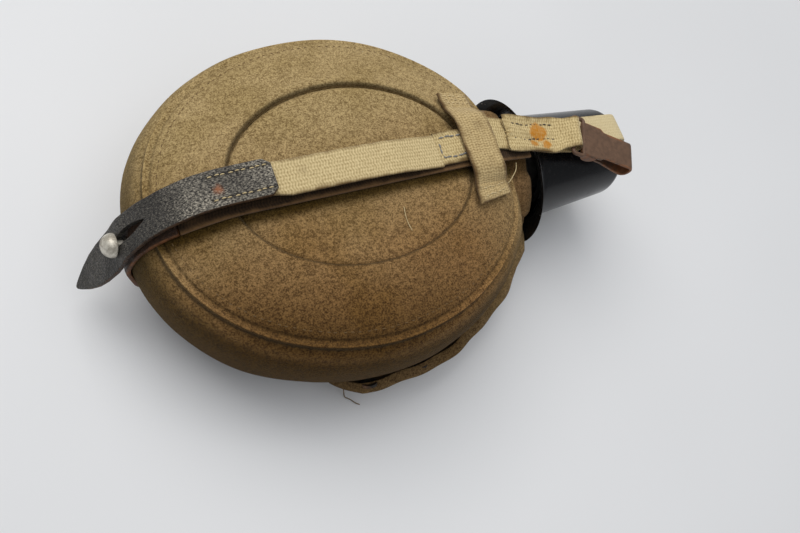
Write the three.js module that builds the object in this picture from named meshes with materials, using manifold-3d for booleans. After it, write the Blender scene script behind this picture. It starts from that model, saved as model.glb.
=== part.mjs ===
// Field canteen: a felt-covered aluminium flask with an oval cup over its neck, held by a webbing harness.
// Millimetres, +Z up. It lies on its outer face, with the worn face up and the neck and cup along +X.
import * as THREE from 'three';
import { mergeVertices } from 'three/addons/utils/BufferGeometryUtils.js';
import Module from 'manifold-3d';

const wasm = await Module();
wasm.setup();

// Clearances between pieces that lie on each other
const GAP = 0.3;
const CLEAR = 0.4;

// Felt-covered body: an oval outline that swells to a waist, domed in front and flatter behind
const BODY_LENGTH = 198;
const BODY_WIDTH = 170;
const WAIST_HEIGHT = 45;
const FRONT_RISE = 45.3;
const FRONT_POWER = 2.5;
const BACK_DROP = 54.7;
const BACK_POWER = 2.2;
const FELT = 3.5;
const FLAT_LEAN = 0.35;

// Seams of the cover: pinched welt in front, oval centre panel, and the back panel's seam
const SEAM_HEIGHT = 70.6;
const WELT_WIDTH = 3.4;
const WELT_RISE = 1.2;
const OVAL_LENGTH = 118;
const OVAL_WIDTH = 89.5;
const OVAL_SHIFT = 2.8;
const OVAL_STEP = 1.4;
const OVAL_CROWN = 1.6;
const BACK_SEAM_HEIGHT = 8;

// Flask, neck and screw cap
const FLASK_WALL = 1.5;
const NECK_HEIGHT = 41;
const NECK_RADIUS = 16.5;
const NECK_BORE = 13;
const NECK_REACH = 30;
const NECK_ROOT = 24.75;
const THREAD_PITCH = 4;
const THREAD_TURNS = 2;
const THREAD_RISE = 1.6;
const THREAD_WIDTH = 1.3;
const THREAD_SINK = 0.4;
const THREAD_SETBACK = 5;
const CAP_WALL = 3.5;
const CAP_RADIUS = NECK_RADIUS + THREAD_RISE + CLEAR + CAP_WALL;
const CAP_SKIRT = 17;
const CAP_TOP = 3.4;
const SEAL_THICKNESS = 2;

// Cup with its flared rim
const RIM_REACH = 4;
const RIM_HALF_WIDTH = 41.2;
const RIM_HALF_HEIGHT = 37.2;
const CUP_DEPTH = 67;
const CUP_FLARE_LENGTH = 9;
const CUP_MOUTH_HALF_WIDTH = 28.5;
const CUP_MOUTH_HALF_HEIGHT = 32;
const CUP_BASE_HALF_WIDTH = 24.6;
const CUP_BASE_HALF_HEIGHT = 27;
const CUP_WALL = 1.2;
const CUP_BASE_ROUND = 5;
const COLLAR_HALF_WIDTH = 36;
const COLLAR_INNER_RADIUS = 24;
const COLLAR_OVERLAP = 17.82;
const COLLAR_BULGE = 1;
const COLLAR_BULGE_SHARE = 0.75;

// Harness webbing and leather
const STRAP_WIDTH = 17;
const STRAP_THICKNESS = 1.8;
const STRAP_SIDE = -2;
const LEATHER_THICKNESS = 2.4;
const STRAP_BOTTOM_REACH = 0.8;
const CUP_STRAP_WIDTH = 16;
const CUP_STRAP_SIDE = 1;
const CHANNEL_DEPTH = STRAP_THICKNESS + CLEAR + GAP;
const STRAP_JOIN = 7;

// Cross loop that keeps the harness on the cover
const KEEPER_OFFSET = 4.2;
const KEEPER_PLACE = OVAL_SHIFT + OVAL_LENGTH / 2 + KEEPER_OFFSET;
const KEEPER_WIDTH = 18;
const KEEPER_SPAN = 60;
const KEEPER_THICKNESS = 1.8;
const KEEPER_RAMP = 7;

// Belt loop: webbing from the box stitch, leather tab buttoned on the stud
const LOOP_HINGE_INSET = 18.8;
const LOOP_HINGE_PLACE = OVAL_SHIFT + OVAL_LENGTH / 2 - LOOP_HINGE_INSET;
const LOOP_WEB_WIDTH = 15;
const LOOP_WEB_THICKNESS = 1.7;
const LOOP_GAP = 5;
const TAB_WIDTH = 17;
const TAB_INSET = 61;
const TAB_START = TAB_INSET - BODY_LENGTH / 2;
const STUD_HEAD_RADIUS = 5;
const STUD_HEAD_RISE = 3.4;
const STUD_NECK_RADIUS = 2;
const STUD_HEIGHT = 57;
const WASHER_RADIUS = 4.4;
const WASHER_THICKNESS = 0.8;
const SLIT_LENGTH = 24;
const TAB_HANG = 34;
const TAB_KICK = 17;
const STUD_SEAT = 1.5;

// Hook strap and snap hook
const HOOK_STRAP_WIDTH = 17;
const HOOK_STRAP_THICKNESS = 1.6;
const CHAPE_INSET = 15;
const CHAPE_REACH = 25;
const CHAPE_START = BODY_LENGTH / 2 - CHAPE_INSET;
const CHAPE_FOLD = BODY_LENGTH / 2 + CHAPE_REACH;
const CHAPE_SIDE = 4.5;
const CHAPE_TURN = -11;
const FOLD_SKEW = -7.5;
const HOOK_TURN = -26;
const HOOK_DIP = 10;
const EYE_BAR_RADIUS = 1.1;
const EYE_ROOM = 0.381;
const EYE_ASKEW = CHAPE_TURN + FOLD_SKEW - HOOK_TURN;
const EYE_SWAY = (HOOK_STRAP_WIDTH / 2) * Math.tan(Math.abs(EYE_ASKEW) * (Math.PI / 180));
const EYE_CLEARANCE = EYE_SWAY + EYE_ROOM;
const YOKE_ROOM = 0.02406688;
const HOOK_PLATE = 1.6;
const HOOK_PLATE_DROP = 0.6;
const HOOK_LENGTH = 39;
const HOOK_WIDTH = 15.6;
const HOOK_NECK_WIDTH = 19;
const HOOK_THROAT = 7;
const HOOK_LEG_WIDTH = 8.4;
const GATE_WIDTH = 7;
const HOOK_PIN_RADIUS = 0.9;
const HOOK_PIN_PLACE = 6;
const HOOK_PIN_DROP = 2.8;
const HOOK_NECK_LENGTH = 14;
const HOOK_RAIL = 1.8;
const EYE_SIDE_ROOM = 1.4;
const LUG_THICKNESS = 1.4;
const GATE_LENGTH = 10;
const SPRING_THICKNESS = 0.6;

// Buckle of the main strap, on the outer face by the neck
const BUCKLE_INSET = 18;
const BUCKLE_HINGE_PLACE = BODY_LENGTH / 2 - BUCKLE_INSET;
const BUCKLE_LENGTH = 13;
const BUCKLE_WIDTH = 26;
const BUCKLE_BAR_RADIUS = 1.2;
const BUCKLE_HEIGHT = 5.2;
const BUCKLE_WEB = 1.6;
const PRONG_WIDTH = 3.6;
const PRONG_THICKNESS = 1.3;
const TONGUE_TAIL = 5.5;
const FLOOR_ROOM = 0.2;

// Flap that closes the cover's opening, and its press fasteners
const FLAP_FROM = -104;
const FLAP_TO = -33;
const FLAP_FOOT_HEIGHT = 12;
const FLAP_LIP_HEIGHT = 32;
const FLAP_THICKNESS = 2.8;
const FLAP_FLARE_START = 7;
const FLAP_FLARE_END = 13;
const SNAP_COUNT = 4;
const SNAP_HEIGHT = 27;
const SNAP_RADIUS = 4.2;
const SNAP_BASE = 1;
const SNAP_KNOB_RADIUS = 1.8;
const SNAP_KNOB = 1.3;
const SNAP_SOCKET = 1.5;

// Facets of round and oval pieces
const OVAL_SIDES = 36;
const ROUND_SIDES = 24;
const SMALL_SIDES = 16;

const deg = Math.PI / 180;
const halfLength = BODY_LENGTH / 2;
const halfWidth = BODY_WIDTH / 2;
const meanRadius = (halfLength + halfWidth) / 2;
const clamp01 = (value) => Math.min(1, Math.max(0, value));
const mix = (from, to, share) => from + (to - from) * share;

// Superellipse quarter: the other coordinate, as a share, for a share of the first
const quarter = (share, power) => Math.max(0, 1 - share ** power) ** (1 / power);

const domeHeight = (share) => WAIST_HEIGHT + FRONT_RISE * quarter(share, FRONT_POWER);
const bellyHeight = (share) => Math.max(0, WAIST_HEIGHT - BACK_DROP * quarter(share, BACK_POWER));
const domeShare = (height) => quarter((height - WAIST_HEIGHT) / FRONT_RISE, FRONT_POWER);
const bellyShare = (height) => quarter((WAIST_HEIGHT - height) / BACK_DROP, BACK_POWER);

const seamShare = domeShare(SEAM_HEIGHT);
const ovalShare = OVAL_LENGTH / BODY_LENGTH;
const flatShare = bellyShare(0);
const ovalNarrowing = (OVAL_WIDTH / OVAL_LENGTH) * (BODY_LENGTH / BODY_WIDTH);
const rimHeight = domeHeight(ovalShare);
const panelHeight = (share) => rimHeight - OVAL_STEP + OVAL_CROWN * (1 - (share / ovalShare) ** 2);

// How far a front outline has changed from the seam's shape to the oval panel's
const towardOval = (share) => clamp01((seamShare - share) / (seamShare - ovalShare));

// Outward normal of a height curve in the plane of the mean radius
function slopeNormal(heightAt, share, faceUp) {
  const step = 1e-4;
  const low = Math.max(0, share - step);
  const high = Math.min(1, share + step);
  const rise = (heightAt(high) - heightAt(low)) / (high - low);
  const size = Math.hypot(rise, meanRadius);
  return faceUp ? [-rise / size, meanRadius / size] : [rise / size, -meanRadius / size];
}

// Oval outlines of the cover, at a depth below its outer face
function domeRing(share, depth) {
  const [outward, upward] = slopeNormal(domeHeight, share, true);
  const near = towardOval(share);
  return {
    centre: OVAL_SHIFT * near,
    halfX: halfLength * share - outward * depth,
    halfY: halfWidth * share * mix(1, ovalNarrowing, near) - outward * depth,
    height: domeHeight(share) - upward * depth,
  };
}

function bellyRing(share, depth) {
  const flat = share <= flatShare + 1e-6;
  const [outward, upward] = flat ? [FLAT_LEAN, -1] : slopeNormal(bellyHeight, share, false);
  return {
    centre: 0,
    halfX: halfLength * share - outward * depth,
    halfY: halfWidth * share - outward * depth,
    height: bellyHeight(share) - upward * depth,
  };
}

function panelRing(share, depth) {
  return {
    centre: OVAL_SHIFT,
    halfX: halfLength * share,
    halfY: halfWidth * share * ovalNarrowing,
    height: panelHeight(share) - depth,
  };
}

function ringPoints({ centre, halfX, halfY, height }) {
  const points = [];
  for (let i = 0; i < OVAL_SIDES; i += 1) {
    const angle = (2 * Math.PI * i) / OVAL_SIDES;
    points.push([centre + halfX * Math.cos(angle), halfY * Math.sin(angle), height]);
  }
  return points;
}

// Evenly spaced values from one number to another, both included
function spread(from, to, count) {
  return Array.from({ length: count }, (_, i) => mix(from, to, i / (count - 1)));
}

function signedVolume(position, index) {
  const a = new THREE.Vector3();
  const b = new THREE.Vector3();
  const c = new THREE.Vector3();
  let sum = 0;
  for (let i = 0; i < index.length; i += 3) {
    a.fromArray(position, index[i] * 3);
    b.fromArray(position, index[i + 1] * 3);
    c.fromArray(position, index[i + 2] * 3);
    sum += a.dot(b.cross(c));
  }
  return sum;
}

// Skin over rings of points: either a closed loop of rings or a run with a fan over each end
function loft(rings, looped = false) {
  const sides = rings[0].length;
  const position = rings.flat(2);
  const index = [];
  const runs = looped ? rings.length : rings.length - 1;
  for (let r = 0; r < runs; r += 1) {
    const here = r * sides;
    const there = ((r + 1) % rings.length) * sides;
    for (let i = 0; i < sides; i += 1) {
      const next = (i + 1) % sides;
      index.push(here + i, here + next, there + next, here + i, there + next, there + i);
    }
  }
  if (!looped) {
    for (const [ring, flip] of [[0, true], [rings.length - 1, false]]) {
      const middle = position.length / 3;
      const sum = rings[ring].reduce((total, p) => total.map((v, k) => v + p[k]), [0, 0, 0]);
      position.push(...sum.map((v) => v / sides));
      for (let i = 0; i < sides; i += 1) {
        const a = ring * sides + i;
        const b = ring * sides + ((i + 1) % sides);
        index.push(middle, flip ? b : a, flip ? a : b);
      }
    }
  }
  if (signedVolume(position, index) < 0) {
    index.reverse();
  }
  const geometry = new THREE.BufferGeometry();
  geometry.setAttribute('position', new THREE.Float32BufferAttribute(position, 3));
  geometry.setIndex(index);
  return geometry;
}

function toSolid(geometry) {
  const bare = geometry.clone();
  bare.deleteAttribute('normal');
  bare.deleteAttribute('uv');
  const merged = mergeVertices(bare, 1e-4);
  const mesh = new wasm.Mesh({
    numProp: 3,
    vertProperties: Float32Array.from(merged.attributes.position.array),
    triVerts: Uint32Array.from(merged.index.array),
  });
  return new wasm.Manifold(mesh);
}

function toGeometry(solid) {
  const mesh = solid.getMesh();
  const geometry = new THREE.BufferGeometry();
  geometry.setAttribute('position', new THREE.Float32BufferAttribute(mesh.vertProperties, 3));
  geometry.setIndex(Array.from(mesh.triVerts));
  return geometry;
}

function cut(base, ...tools) {
  return toGeometry(tools.reduce((rest, tool) => rest.subtract(toSolid(tool)), toSolid(base)));
}

function join(base, ...extra) {
  return toGeometry(extra.reduce((whole, piece) => whole.add(toSolid(piece)), toSolid(base)));
}

// Box from its lowest to its highest corner
function block(low, high) {
  const size = high.map((value, i) => value - low[i]);
  const geometry = new THREE.BoxGeometry(...size);
  geometry.translate(...low.map((value, i) => value + size[i] / 2));
  return geometry;
}

// Round bar along X or Y
function barX(radius, from, to, y, z, sides = ROUND_SIDES) {
  const geometry = new THREE.CylinderGeometry(radius, radius, to - from, sides);
  geometry.rotateZ(-Math.PI / 2);
  geometry.translate((from + to) / 2, y, z);
  return geometry;
}

function barY(radius, from, to, x, z, sides = SMALL_SIDES) {
  const geometry = new THREE.CylinderGeometry(radius, radius, to - from, sides);
  geometry.translate(x, (from + to) / 2, z);
  return geometry;
}

// Side view outline, as [x, z] points, carried across the width
function slab(outline, width, side = 0, holes = []) {
  const shape = new THREE.Shape(outline.map(([x, z]) => new THREE.Vector2(x, z)));
  for (const { x, z, radius } of holes) {
    const hole = new THREE.Path();
    hole.absarc(x, z, radius, 0, 2 * Math.PI, true);
    shape.holes.push(hole);
  }
  const geometry = new THREE.ExtrudeGeometry(shape, { depth: width, bevelEnabled: false, curveSegments: 8 });
  geometry.rotateX(Math.PI / 2);
  geometry.translate(0, width / 2 + side, 0);
  return geometry;
}

// Outline of a strap: its inner face as [x, z] points, thickened to the left of the way it runs
function thicken(path, thickness) {
  const outer = path.map((point, i) => {
    const before = path[Math.max(0, i - 1)];
    const after = path[Math.min(path.length - 1, i + 1)];
    const lead = unit(before, point);
    const trail = unit(point, after);
    const dx = lead[0] + trail[0];
    const dz = lead[1] + trail[1];
    const size = Math.hypot(dx, dz);
    const normal = [-dz / size, dx / size];
    const straight = i === 0 || i === path.length - 1;
    const miter = straight ? 1 : 1 / Math.max(0.5, normal[0] * -lead[1] + normal[1] * lead[0]);
    return [point[0] + normal[0] * thickness * miter, point[1] + normal[1] * thickness * miter];
  });
  return [...path, ...outer.reverse()];
}

function unit(from, to) {
  const dx = to[0] - from[0];
  const dz = to[1] - from[1];
  const size = Math.hypot(dx, dz) || 1;
  return [dx / size, dz / size];
}

function bend(geometry, move) {
  const position = geometry.attributes.position;
  const point = new THREE.Vector3();
  for (let i = 0; i < position.count; i += 1) {
    point.fromBufferAttribute(position, i);
    move(point);
    position.setXYZ(i, point.x, point.y, point.z);
  }
  return geometry;
}

const finish = {
  felt: { color: 0x7d6b44, roughness: 0.95, metalness: 0 },
  feltDark: { color: 0x57462d, roughness: 0.95, metalness: 0 },
  web: { color: 0xb9a273, roughness: 0.9, metalness: 0 },
  webWorn: { color: 0x8a7148, roughness: 0.9, metalness: 0 },
  leather: { color: 0x23242a, roughness: 0.55, metalness: 0 },
  aluminium: { color: 0xb9b9b4, roughness: 0.4, metalness: 1 },
  studMetal: { color: 0xb5b1a6, roughness: 0.45, metalness: 1 },
  blackLacquer: { color: 0x0d0d0f, roughness: 0.2, metalness: 0 },
  capBlack: { color: 0x1a1a1a, roughness: 0.45, metalness: 0 },
  rubber: { color: 0x8a3d2a, roughness: 0.85, metalness: 0 },
  brownSteel: { color: 0x563726, roughness: 0.5, metalness: 0.4 },
  darkSteel: { color: 0x3a3733, roughness: 0.5, metalness: 0.9 },
};

const canteen = new THREE.Group();

function place(name, geometry, look, parent = canteen) {
  const mesh = new THREE.Mesh(geometry, new THREE.MeshStandardMaterial(finish[look]));
  mesh.name = name;
  parent.add(mesh);
  return mesh;
}

// Levels at which every layer of the body has an outline, so that the layers lie parallel
const weltTop = domeShare(SEAM_HEIGHT + WELT_WIDTH / 2);
const weltFoot = domeShare(SEAM_HEIGHT + WELT_WIDTH);
const underLevels = spread(0, BACK_SEAM_HEIGHT, 4).map(bellyShare);
const lowerLevels = spread(BACK_SEAM_HEIGHT, WAIST_HEIGHT, 6).map(bellyShare);
const upperLevels = spread(WAIST_HEIGHT, SEAM_HEIGHT, 4).map(domeShare);
const frontLevels = spread(weltFoot, ovalShare, 6);

// Whole body with a skin of the given thickness added, for seating pieces on the cover
function bodyBlank(grow) {
  const rings = [
    ...underLevels.slice(0, -1).map((share) => bellyRing(share, -grow)),
    ...lowerLevels.map((share) => bellyRing(share, -grow)),
    ...upperLevels.slice(1).map((share) => domeRing(share, -grow)),
    domeRing(seamShare, -grow - WELT_RISE),
    domeRing(weltTop, -grow - WELT_RISE),
    ...frontLevels.map((share) => domeRing(share, -grow)),
  ];
  return loft(rings.map(ringPoints));
}

// Oval centre panel of the worn face, set below the felt round it
{
  const edge = ovalShare - CLEAR / halfLength;
  const shares = spread(edge, edge / 4, 4);
  const under = [...shares].reverse().map((share) => panelRing(share, FELT));
  const over = shares.map((share) => panelRing(share, 0));
  place('cover_front_centre', loft([...under, ...over].map(ringPoints)), 'felt');
}

// Felt ring from the oval panel out to the seam, with the pinched welt along its edge
{
  const seamEdge = domeShare(SEAM_HEIGHT + GAP / 2);
  const outer = [
    ...[...frontLevels].reverse().map((share) => domeRing(share, 0)),
    domeRing(weltTop, -WELT_RISE),
    domeRing(seamEdge, -WELT_RISE),
  ];
  const inner = [
    domeRing(seamEdge, FELT),
    ...frontLevels.slice(0, -1).map((share) => domeRing(share, FELT)),
    { ...domeRing(ovalShare, 0), height: rimHeight - FELT },
  ];
  place('cover_front_ring', loft([...outer, ...inner].map(ringPoints), true), 'felt');
}

// Felt wall round the waist, with the hole that the neck comes through
{
  const top = domeShare(SEAM_HEIGHT - GAP / 2);
  const foot = bellyShare(BACK_SEAM_HEIGHT + GAP / 2);
  const faces = (depth) => [
    bellyRing(foot, depth),
    ...lowerLevels.slice(1).map((share) => bellyRing(share, depth)),
    ...upperLevels.slice(1, -1).map((share) => domeRing(share, depth)),
    domeRing(top, depth),
  ];
  const wall = loft([...faces(0), ...faces(FELT).reverse()].map(ringPoints), true);
  const hole = barX(NECK_RADIUS + CLEAR, halfLength / 2, halfLength * 1.2, 0, NECK_HEIGHT);
  place('cover_side_wall', cut(wall, hole), 'felt');
}

// Felt of the outer face, pressed into a shallow channel under the tight strap
const channelHalf = STRAP_WIDTH / 2 + CLEAR;
{
  const edge = bellyShare(BACK_SEAM_HEIGHT - GAP / 2);
  const faces = (depth) => [
    bellyRing(flatShare / 4, depth),
    ...underLevels.slice(0, -1).map((share) => bellyRing(share, depth)),
    bellyRing(edge, depth),
  ];
  const back = loft([...faces(0), ...faces(FELT).reverse()].map(ringPoints));
  const low = [-BODY_LENGTH, STRAP_SIDE - channelHalf, -1];
  const high = [BODY_LENGTH, STRAP_SIDE + channelHalf, CHANNEL_DEPTH];
  place('cover_back', cut(back, block(low, high)), 'felt');
}

// Aluminium flask: a thin shell inside the felt, with a threaded neck along +X
const neckStart = halfLength - NECK_ROOT;
const neckEnd = halfLength + NECK_REACH;
const threadStart = neckEnd - CAP_SKIRT + THREAD_SETBACK;

// Helical ridge round the neck's axis, from a root radius to a crest radius
function threadRidge(root, crest, start, turns) {
  const steps = Math.round(turns * ROUND_SIDES);
  const rings = [];
  for (let i = 0; i <= steps; i += 1) {
    const angle = (2 * Math.PI * i) / ROUND_SIDES;
    const x = start + (THREAD_PITCH * i) / ROUND_SIDES;
    const at = (radius, along) => [
      x + along,
      radius * Math.cos(angle),
      NECK_HEIGHT + radius * Math.sin(angle),
    ];
    const half = THREAD_WIDTH / 2;
    rings.push([at(root, -half), at(crest, -half * 0.5), at(crest, half * 0.5), at(root, half)]);
  }
  return loft(rings);
}

{
  const layer = (depth) => [
    bellyRing(flatShare / 4, depth),
    ...underLevels.slice(0, -1).map((share) => bellyRing(share, depth)),
    ...lowerLevels.map((share) => bellyRing(share, depth)),
    ...upperLevels.slice(1).map((share) => domeRing(share, depth)),
    ...frontLevels.slice(0, -1).map((share) => domeRing(share, depth)),
    ...spread(ovalShare + 0.01, ovalShare / 4, 3).map((share) => panelRing(share, depth)),
  ];
  const outside = loft(layer(FELT + CLEAR).map(ringPoints));
  const inside = loft(layer(FELT + CLEAR + FLASK_WALL).map(ringPoints));
  const neck = barX(NECK_RADIUS, neckStart, neckEnd, 0, NECK_HEIGHT);
  const bore = barX(NECK_BORE, neckStart - 5, neckEnd + 5, 0, NECK_HEIGHT);
  const crest = NECK_RADIUS + THREAD_RISE;
  const ridge = threadRidge(NECK_RADIUS - THREAD_SINK, crest, threadStart, THREAD_TURNS);
  place('flask_shell', cut(join(outside, neck, ridge), inside, bore), 'aluminium');
}

// Seal and screw cap on the neck, under the cup
{
  const sealStart = neckEnd + GAP;
  const sealEnd = sealStart + SEAL_THICKNESS;
  place('cap_seal', barX(NECK_RADIUS - CLEAR, sealStart, sealEnd, 0, NECK_HEIGHT), 'rubber');
  const roof = sealEnd + GAP;
  const boreRadius = NECK_RADIUS + THREAD_RISE + CLEAR;
  const body = barX(CAP_RADIUS, roof - CAP_SKIRT, roof + CAP_TOP, 0, NECK_HEIGHT);
  const hollow = barX(boreRadius, roof - CAP_SKIRT - 5, roof, 0, NECK_HEIGHT);
  const ridgeStart = threadStart + THREAD_PITCH / 2;
  const ridge = threadRidge(boreRadius + THREAD_SINK, NECK_RADIUS + CLEAR + 0.2, ridgeStart, THREAD_TURNS);
  place('screw_cap', join(cut(body, hollow), ridge), 'capBlack');
}

// Oval cup over the neck: tapered, with a flared rim towards the bottle and a rounded base
const rimPlace = halfLength + RIM_REACH;
const cupBase = rimPlace + CUP_DEPTH;
const rimTop = NECK_HEIGHT + RIM_HALF_HEIGHT;
const rimFoot = NECK_HEIGHT - RIM_HALF_HEIGHT;
const cupBaseTop = NECK_HEIGHT + CUP_BASE_HALF_HEIGHT;
const cupBaseFoot = NECK_HEIGHT - CUP_BASE_HALF_HEIGHT;
const rimRoundness = RIM_HALF_HEIGHT / RIM_HALF_WIDTH;

// Oval of the cup at a distance from its rim: flared by a share, and inset from the outer face
function cupRing([along, flare, inset]) {
  const taper = clamp01((along - CUP_FLARE_LENGTH) / (CUP_DEPTH - CUP_BASE_ROUND - CUP_FLARE_LENGTH));
  const size = (mouth, base, rim) => mix(mouth, base, taper) + (rim - mouth) * flare - inset;
  const halfY = size(CUP_MOUTH_HALF_WIDTH, CUP_BASE_HALF_WIDTH, RIM_HALF_WIDTH);
  const halfZ = size(CUP_MOUTH_HALF_HEIGHT, CUP_BASE_HALF_HEIGHT, RIM_HALF_HEIGHT);
  const points = [];
  for (let i = 0; i < OVAL_SIDES; i += 1) {
    const angle = (2 * Math.PI * i) / OVAL_SIDES;
    points.push([rimPlace + along, halfY * Math.cos(angle), NECK_HEIGHT + halfZ * Math.sin(angle)]);
  }
  return points;
}

{
  const round = CUP_BASE_ROUND;
  const middle = CUP_BASE_HALF_WIDTH * 0.75;
  const flare = CUP_FLARE_LENGTH;
  const wall = CUP_WALL;
  const outer = [
    [CUP_DEPTH, 0, middle],
    [CUP_DEPTH, 0, round],
    [CUP_DEPTH - round * 0.3, 0, round * 0.3],
    [CUP_DEPTH - round, 0, 0],
    [flare, 0, 0],
    [flare * 0.55, 0.12, 0],
    [flare * 0.3, 0.4, 0],
    [wall, 1, 0],
  ];
  const inner = [
    [0, 1, 0],
    [flare * 0.3 - wall, 0.4, 0],
    [flare * 0.55 - wall * 0.7, 0.12, wall * 0.7],
    [flare, 0, wall],
    [CUP_DEPTH - round, 0, wall],
    [CUP_DEPTH - round * 0.3 - wall * 0.7, 0, round * 0.3 + wall * 0.7],
    [CUP_DEPTH - wall, 0, round],
    [CUP_DEPTH - wall, 0, middle],
  ];
  place('cup', loft([...outer, ...inner].map(cupRing)), 'blackLacquer');
}

const skin = bodyBlank(GAP);

// Height of the strap's end where it passes inside the buckle's far bar
const tongueTop = BUCKLE_HEIGHT + BUCKLE_BAR_RADIUS + GAP + BUCKLE_WEB;

// Felt collar that fills the space between the body's end and the cup's rim
{
  const end = rimPlace - CLEAR * 3;
  const start = halfLength - COLLAR_OVERLAP;
  const half = COLLAR_HALF_WIDTH;
  const ring = (x, halfY, halfZ) => {
    const points = [];
    for (let i = 0; i < OVAL_SIDES; i += 1) {
      const angle = (2 * Math.PI * i) / OVAL_SIDES;
      points.push([x, halfY * Math.cos(angle), NECK_HEIGHT + halfZ * Math.sin(angle)]);
    }
    return points;
  };
  const hole = COLLAR_INNER_RADIUS;
  const rings = [
    ring(start, half, half * rimRoundness),
    ring(mix(start, end, COLLAR_BULGE_SHARE), half + COLLAR_BULGE, (half + COLLAR_BULGE) * rimRoundness),
    ring(end, half - COLLAR_BULGE, (half - COLLAR_BULGE) * rimRoundness),
    ring(end, hole, hole),
    ring(start, hole, hole),
  ];
  const tube = loft(rings, true);
  const strapRoom = block(
    [start - 1, CUP_STRAP_SIDE - CUP_STRAP_WIDTH / 2 - CLEAR, -1],
    [end + 1, CUP_STRAP_SIDE + CUP_STRAP_WIDTH / 2 + CLEAR, tongueTop + CLEAR],
  );
  place('cover_collar', cut(tube, skin, strapRoom), 'feltDark');
}

// Mid-section of the body as [x, z] points, on the bottom side, for straps that wrap it
function bottomPoint(share, front, out) {
  const ring = front ? domeRing(share, -out) : bellyRing(share, -out);
  return [ring.centre - ring.halfX, ring.height];
}

// Main strap on the worn face: over the oval rim, then straight to the top of the cup's rim
const rimRun = rimPlace + CUP_WALL / 2;
const ovalEnd = [OVAL_SHIFT + OVAL_LENGTH / 2, rimHeight + CLEAR];
const ovalStart = [OVAL_SHIFT - OVAL_LENGTH / 2, rimHeight + CLEAR];
const crownTop = Math.max(rimHeight, panelHeight(0)) + CLEAR;
const runDrop = (ovalEnd[1] - rimTop - CLEAR) / (rimRun - ovalEnd[0]);
const runHeight = (x) => (x < ovalEnd[0] ? crownTop : ovalEnd[1] - runDrop * (x - ovalEnd[0]));
const strapFrontEnd = rimPlace - STRAP_JOIN;
const reach = STRAP_BOTTOM_REACH;
{
  const path = [
    [strapFrontEnd, runHeight(strapFrontEnd)],
    ovalEnd,
    [OVAL_SHIFT, crownTop],
    ovalStart,
    ...spread(ovalShare + 0.06, reach, 4).map((share) => bottomPoint(share, true, CLEAR)),
  ];
  const strap = slab(thicken(path.reverse(), STRAP_THICKNESS), STRAP_WIDTH, STRAP_SIDE);
  place('strap_front', cut(strap, skin), 'webWorn');
}

// Leather length of the main strap, round the bottle's bottom, flat where the stud stands on it
const strapLevel = STRAP_THICKNESS + CLEAR;
const leatherFoot = bellyShare(strapLevel + LEATHER_THICKNESS);
const flatLow = bottomPoint(domeShare(STUD_HEIGHT - WASHER_RADIUS - STUD_SEAT), true, CLEAR);
const flatHigh = bottomPoint(domeShare(STUD_HEIGHT + WASHER_RADIUS + STUD_SEAT), true, CLEAR);
{
  const seam = GAP / halfLength;
  const above = domeShare(STUD_HEIGHT + 3 * WASHER_RADIUS);
  const path = [
    ...spread(leatherFoot, 1, 6).map((share) => bottomPoint(share, false, CLEAR)),
    flatLow,
    flatHigh,
    ...spread(above, reach + seam, 3).map((share) => bottomPoint(share, true, CLEAR)),
  ];
  const strap = slab(thicken(path, LEATHER_THICKNESS), STRAP_WIDTH, STRAP_SIDE);
  place('strap_bottom', cut(strap, skin), 'leather');
}

// Main strap on the outer face, in the felt's channel, ending in an eye round the buckle's bar
const eyeInner = BUCKLE_BAR_RADIUS + GAP;
const eyeOuter = eyeInner + BUCKLE_WEB;
const buckle = { x: BUCKLE_HINGE_PLACE, z: BUCKLE_HEIGHT };
const farBar = BUCKLE_HINGE_PLACE + BUCKLE_LENGTH;
const prongSlot = PRONG_WIDTH / 2 + CLEAR;
{
  const leatherEnd = bottomPoint(leatherFoot, false, CLEAR)[0];
  const start = leatherEnd + GAP * 2;
  const level = halfLength * bellyShare(CHANNEL_DEPTH + CLEAR);
  const path = [
    [buckle.x - eyeInner, buckle.z + 1],
    [buckle.x - eyeOuter - 2.4, CHANNEL_DEPTH + STRAP_THICKNESS],
    [level, strapLevel],
    [start, strapLevel],
  ];
  const run = slab(thicken(path, STRAP_THICKNESS), STRAP_WIDTH, STRAP_SIDE);
  const eye = barY(eyeOuter, STRAP_SIDE - STRAP_WIDTH / 2, STRAP_SIDE + STRAP_WIDTH / 2, buckle.x, buckle.z);
  const bore = barY(eyeInner, STRAP_SIDE - STRAP_WIDTH, STRAP_SIDE + STRAP_WIDTH, buckle.x, buckle.z);
  const slotLow = [buckle.x - eyeOuter - 1, STRAP_SIDE - prongSlot, -1];
  const slotHigh = [buckle.x + eyeOuter + 1, STRAP_SIDE + prongSlot, buckle.z + eyeOuter + 1];
  place('strap_back', cut(join(run, eye), bore, block(slotLow, slotHigh)), 'web');
}

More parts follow.
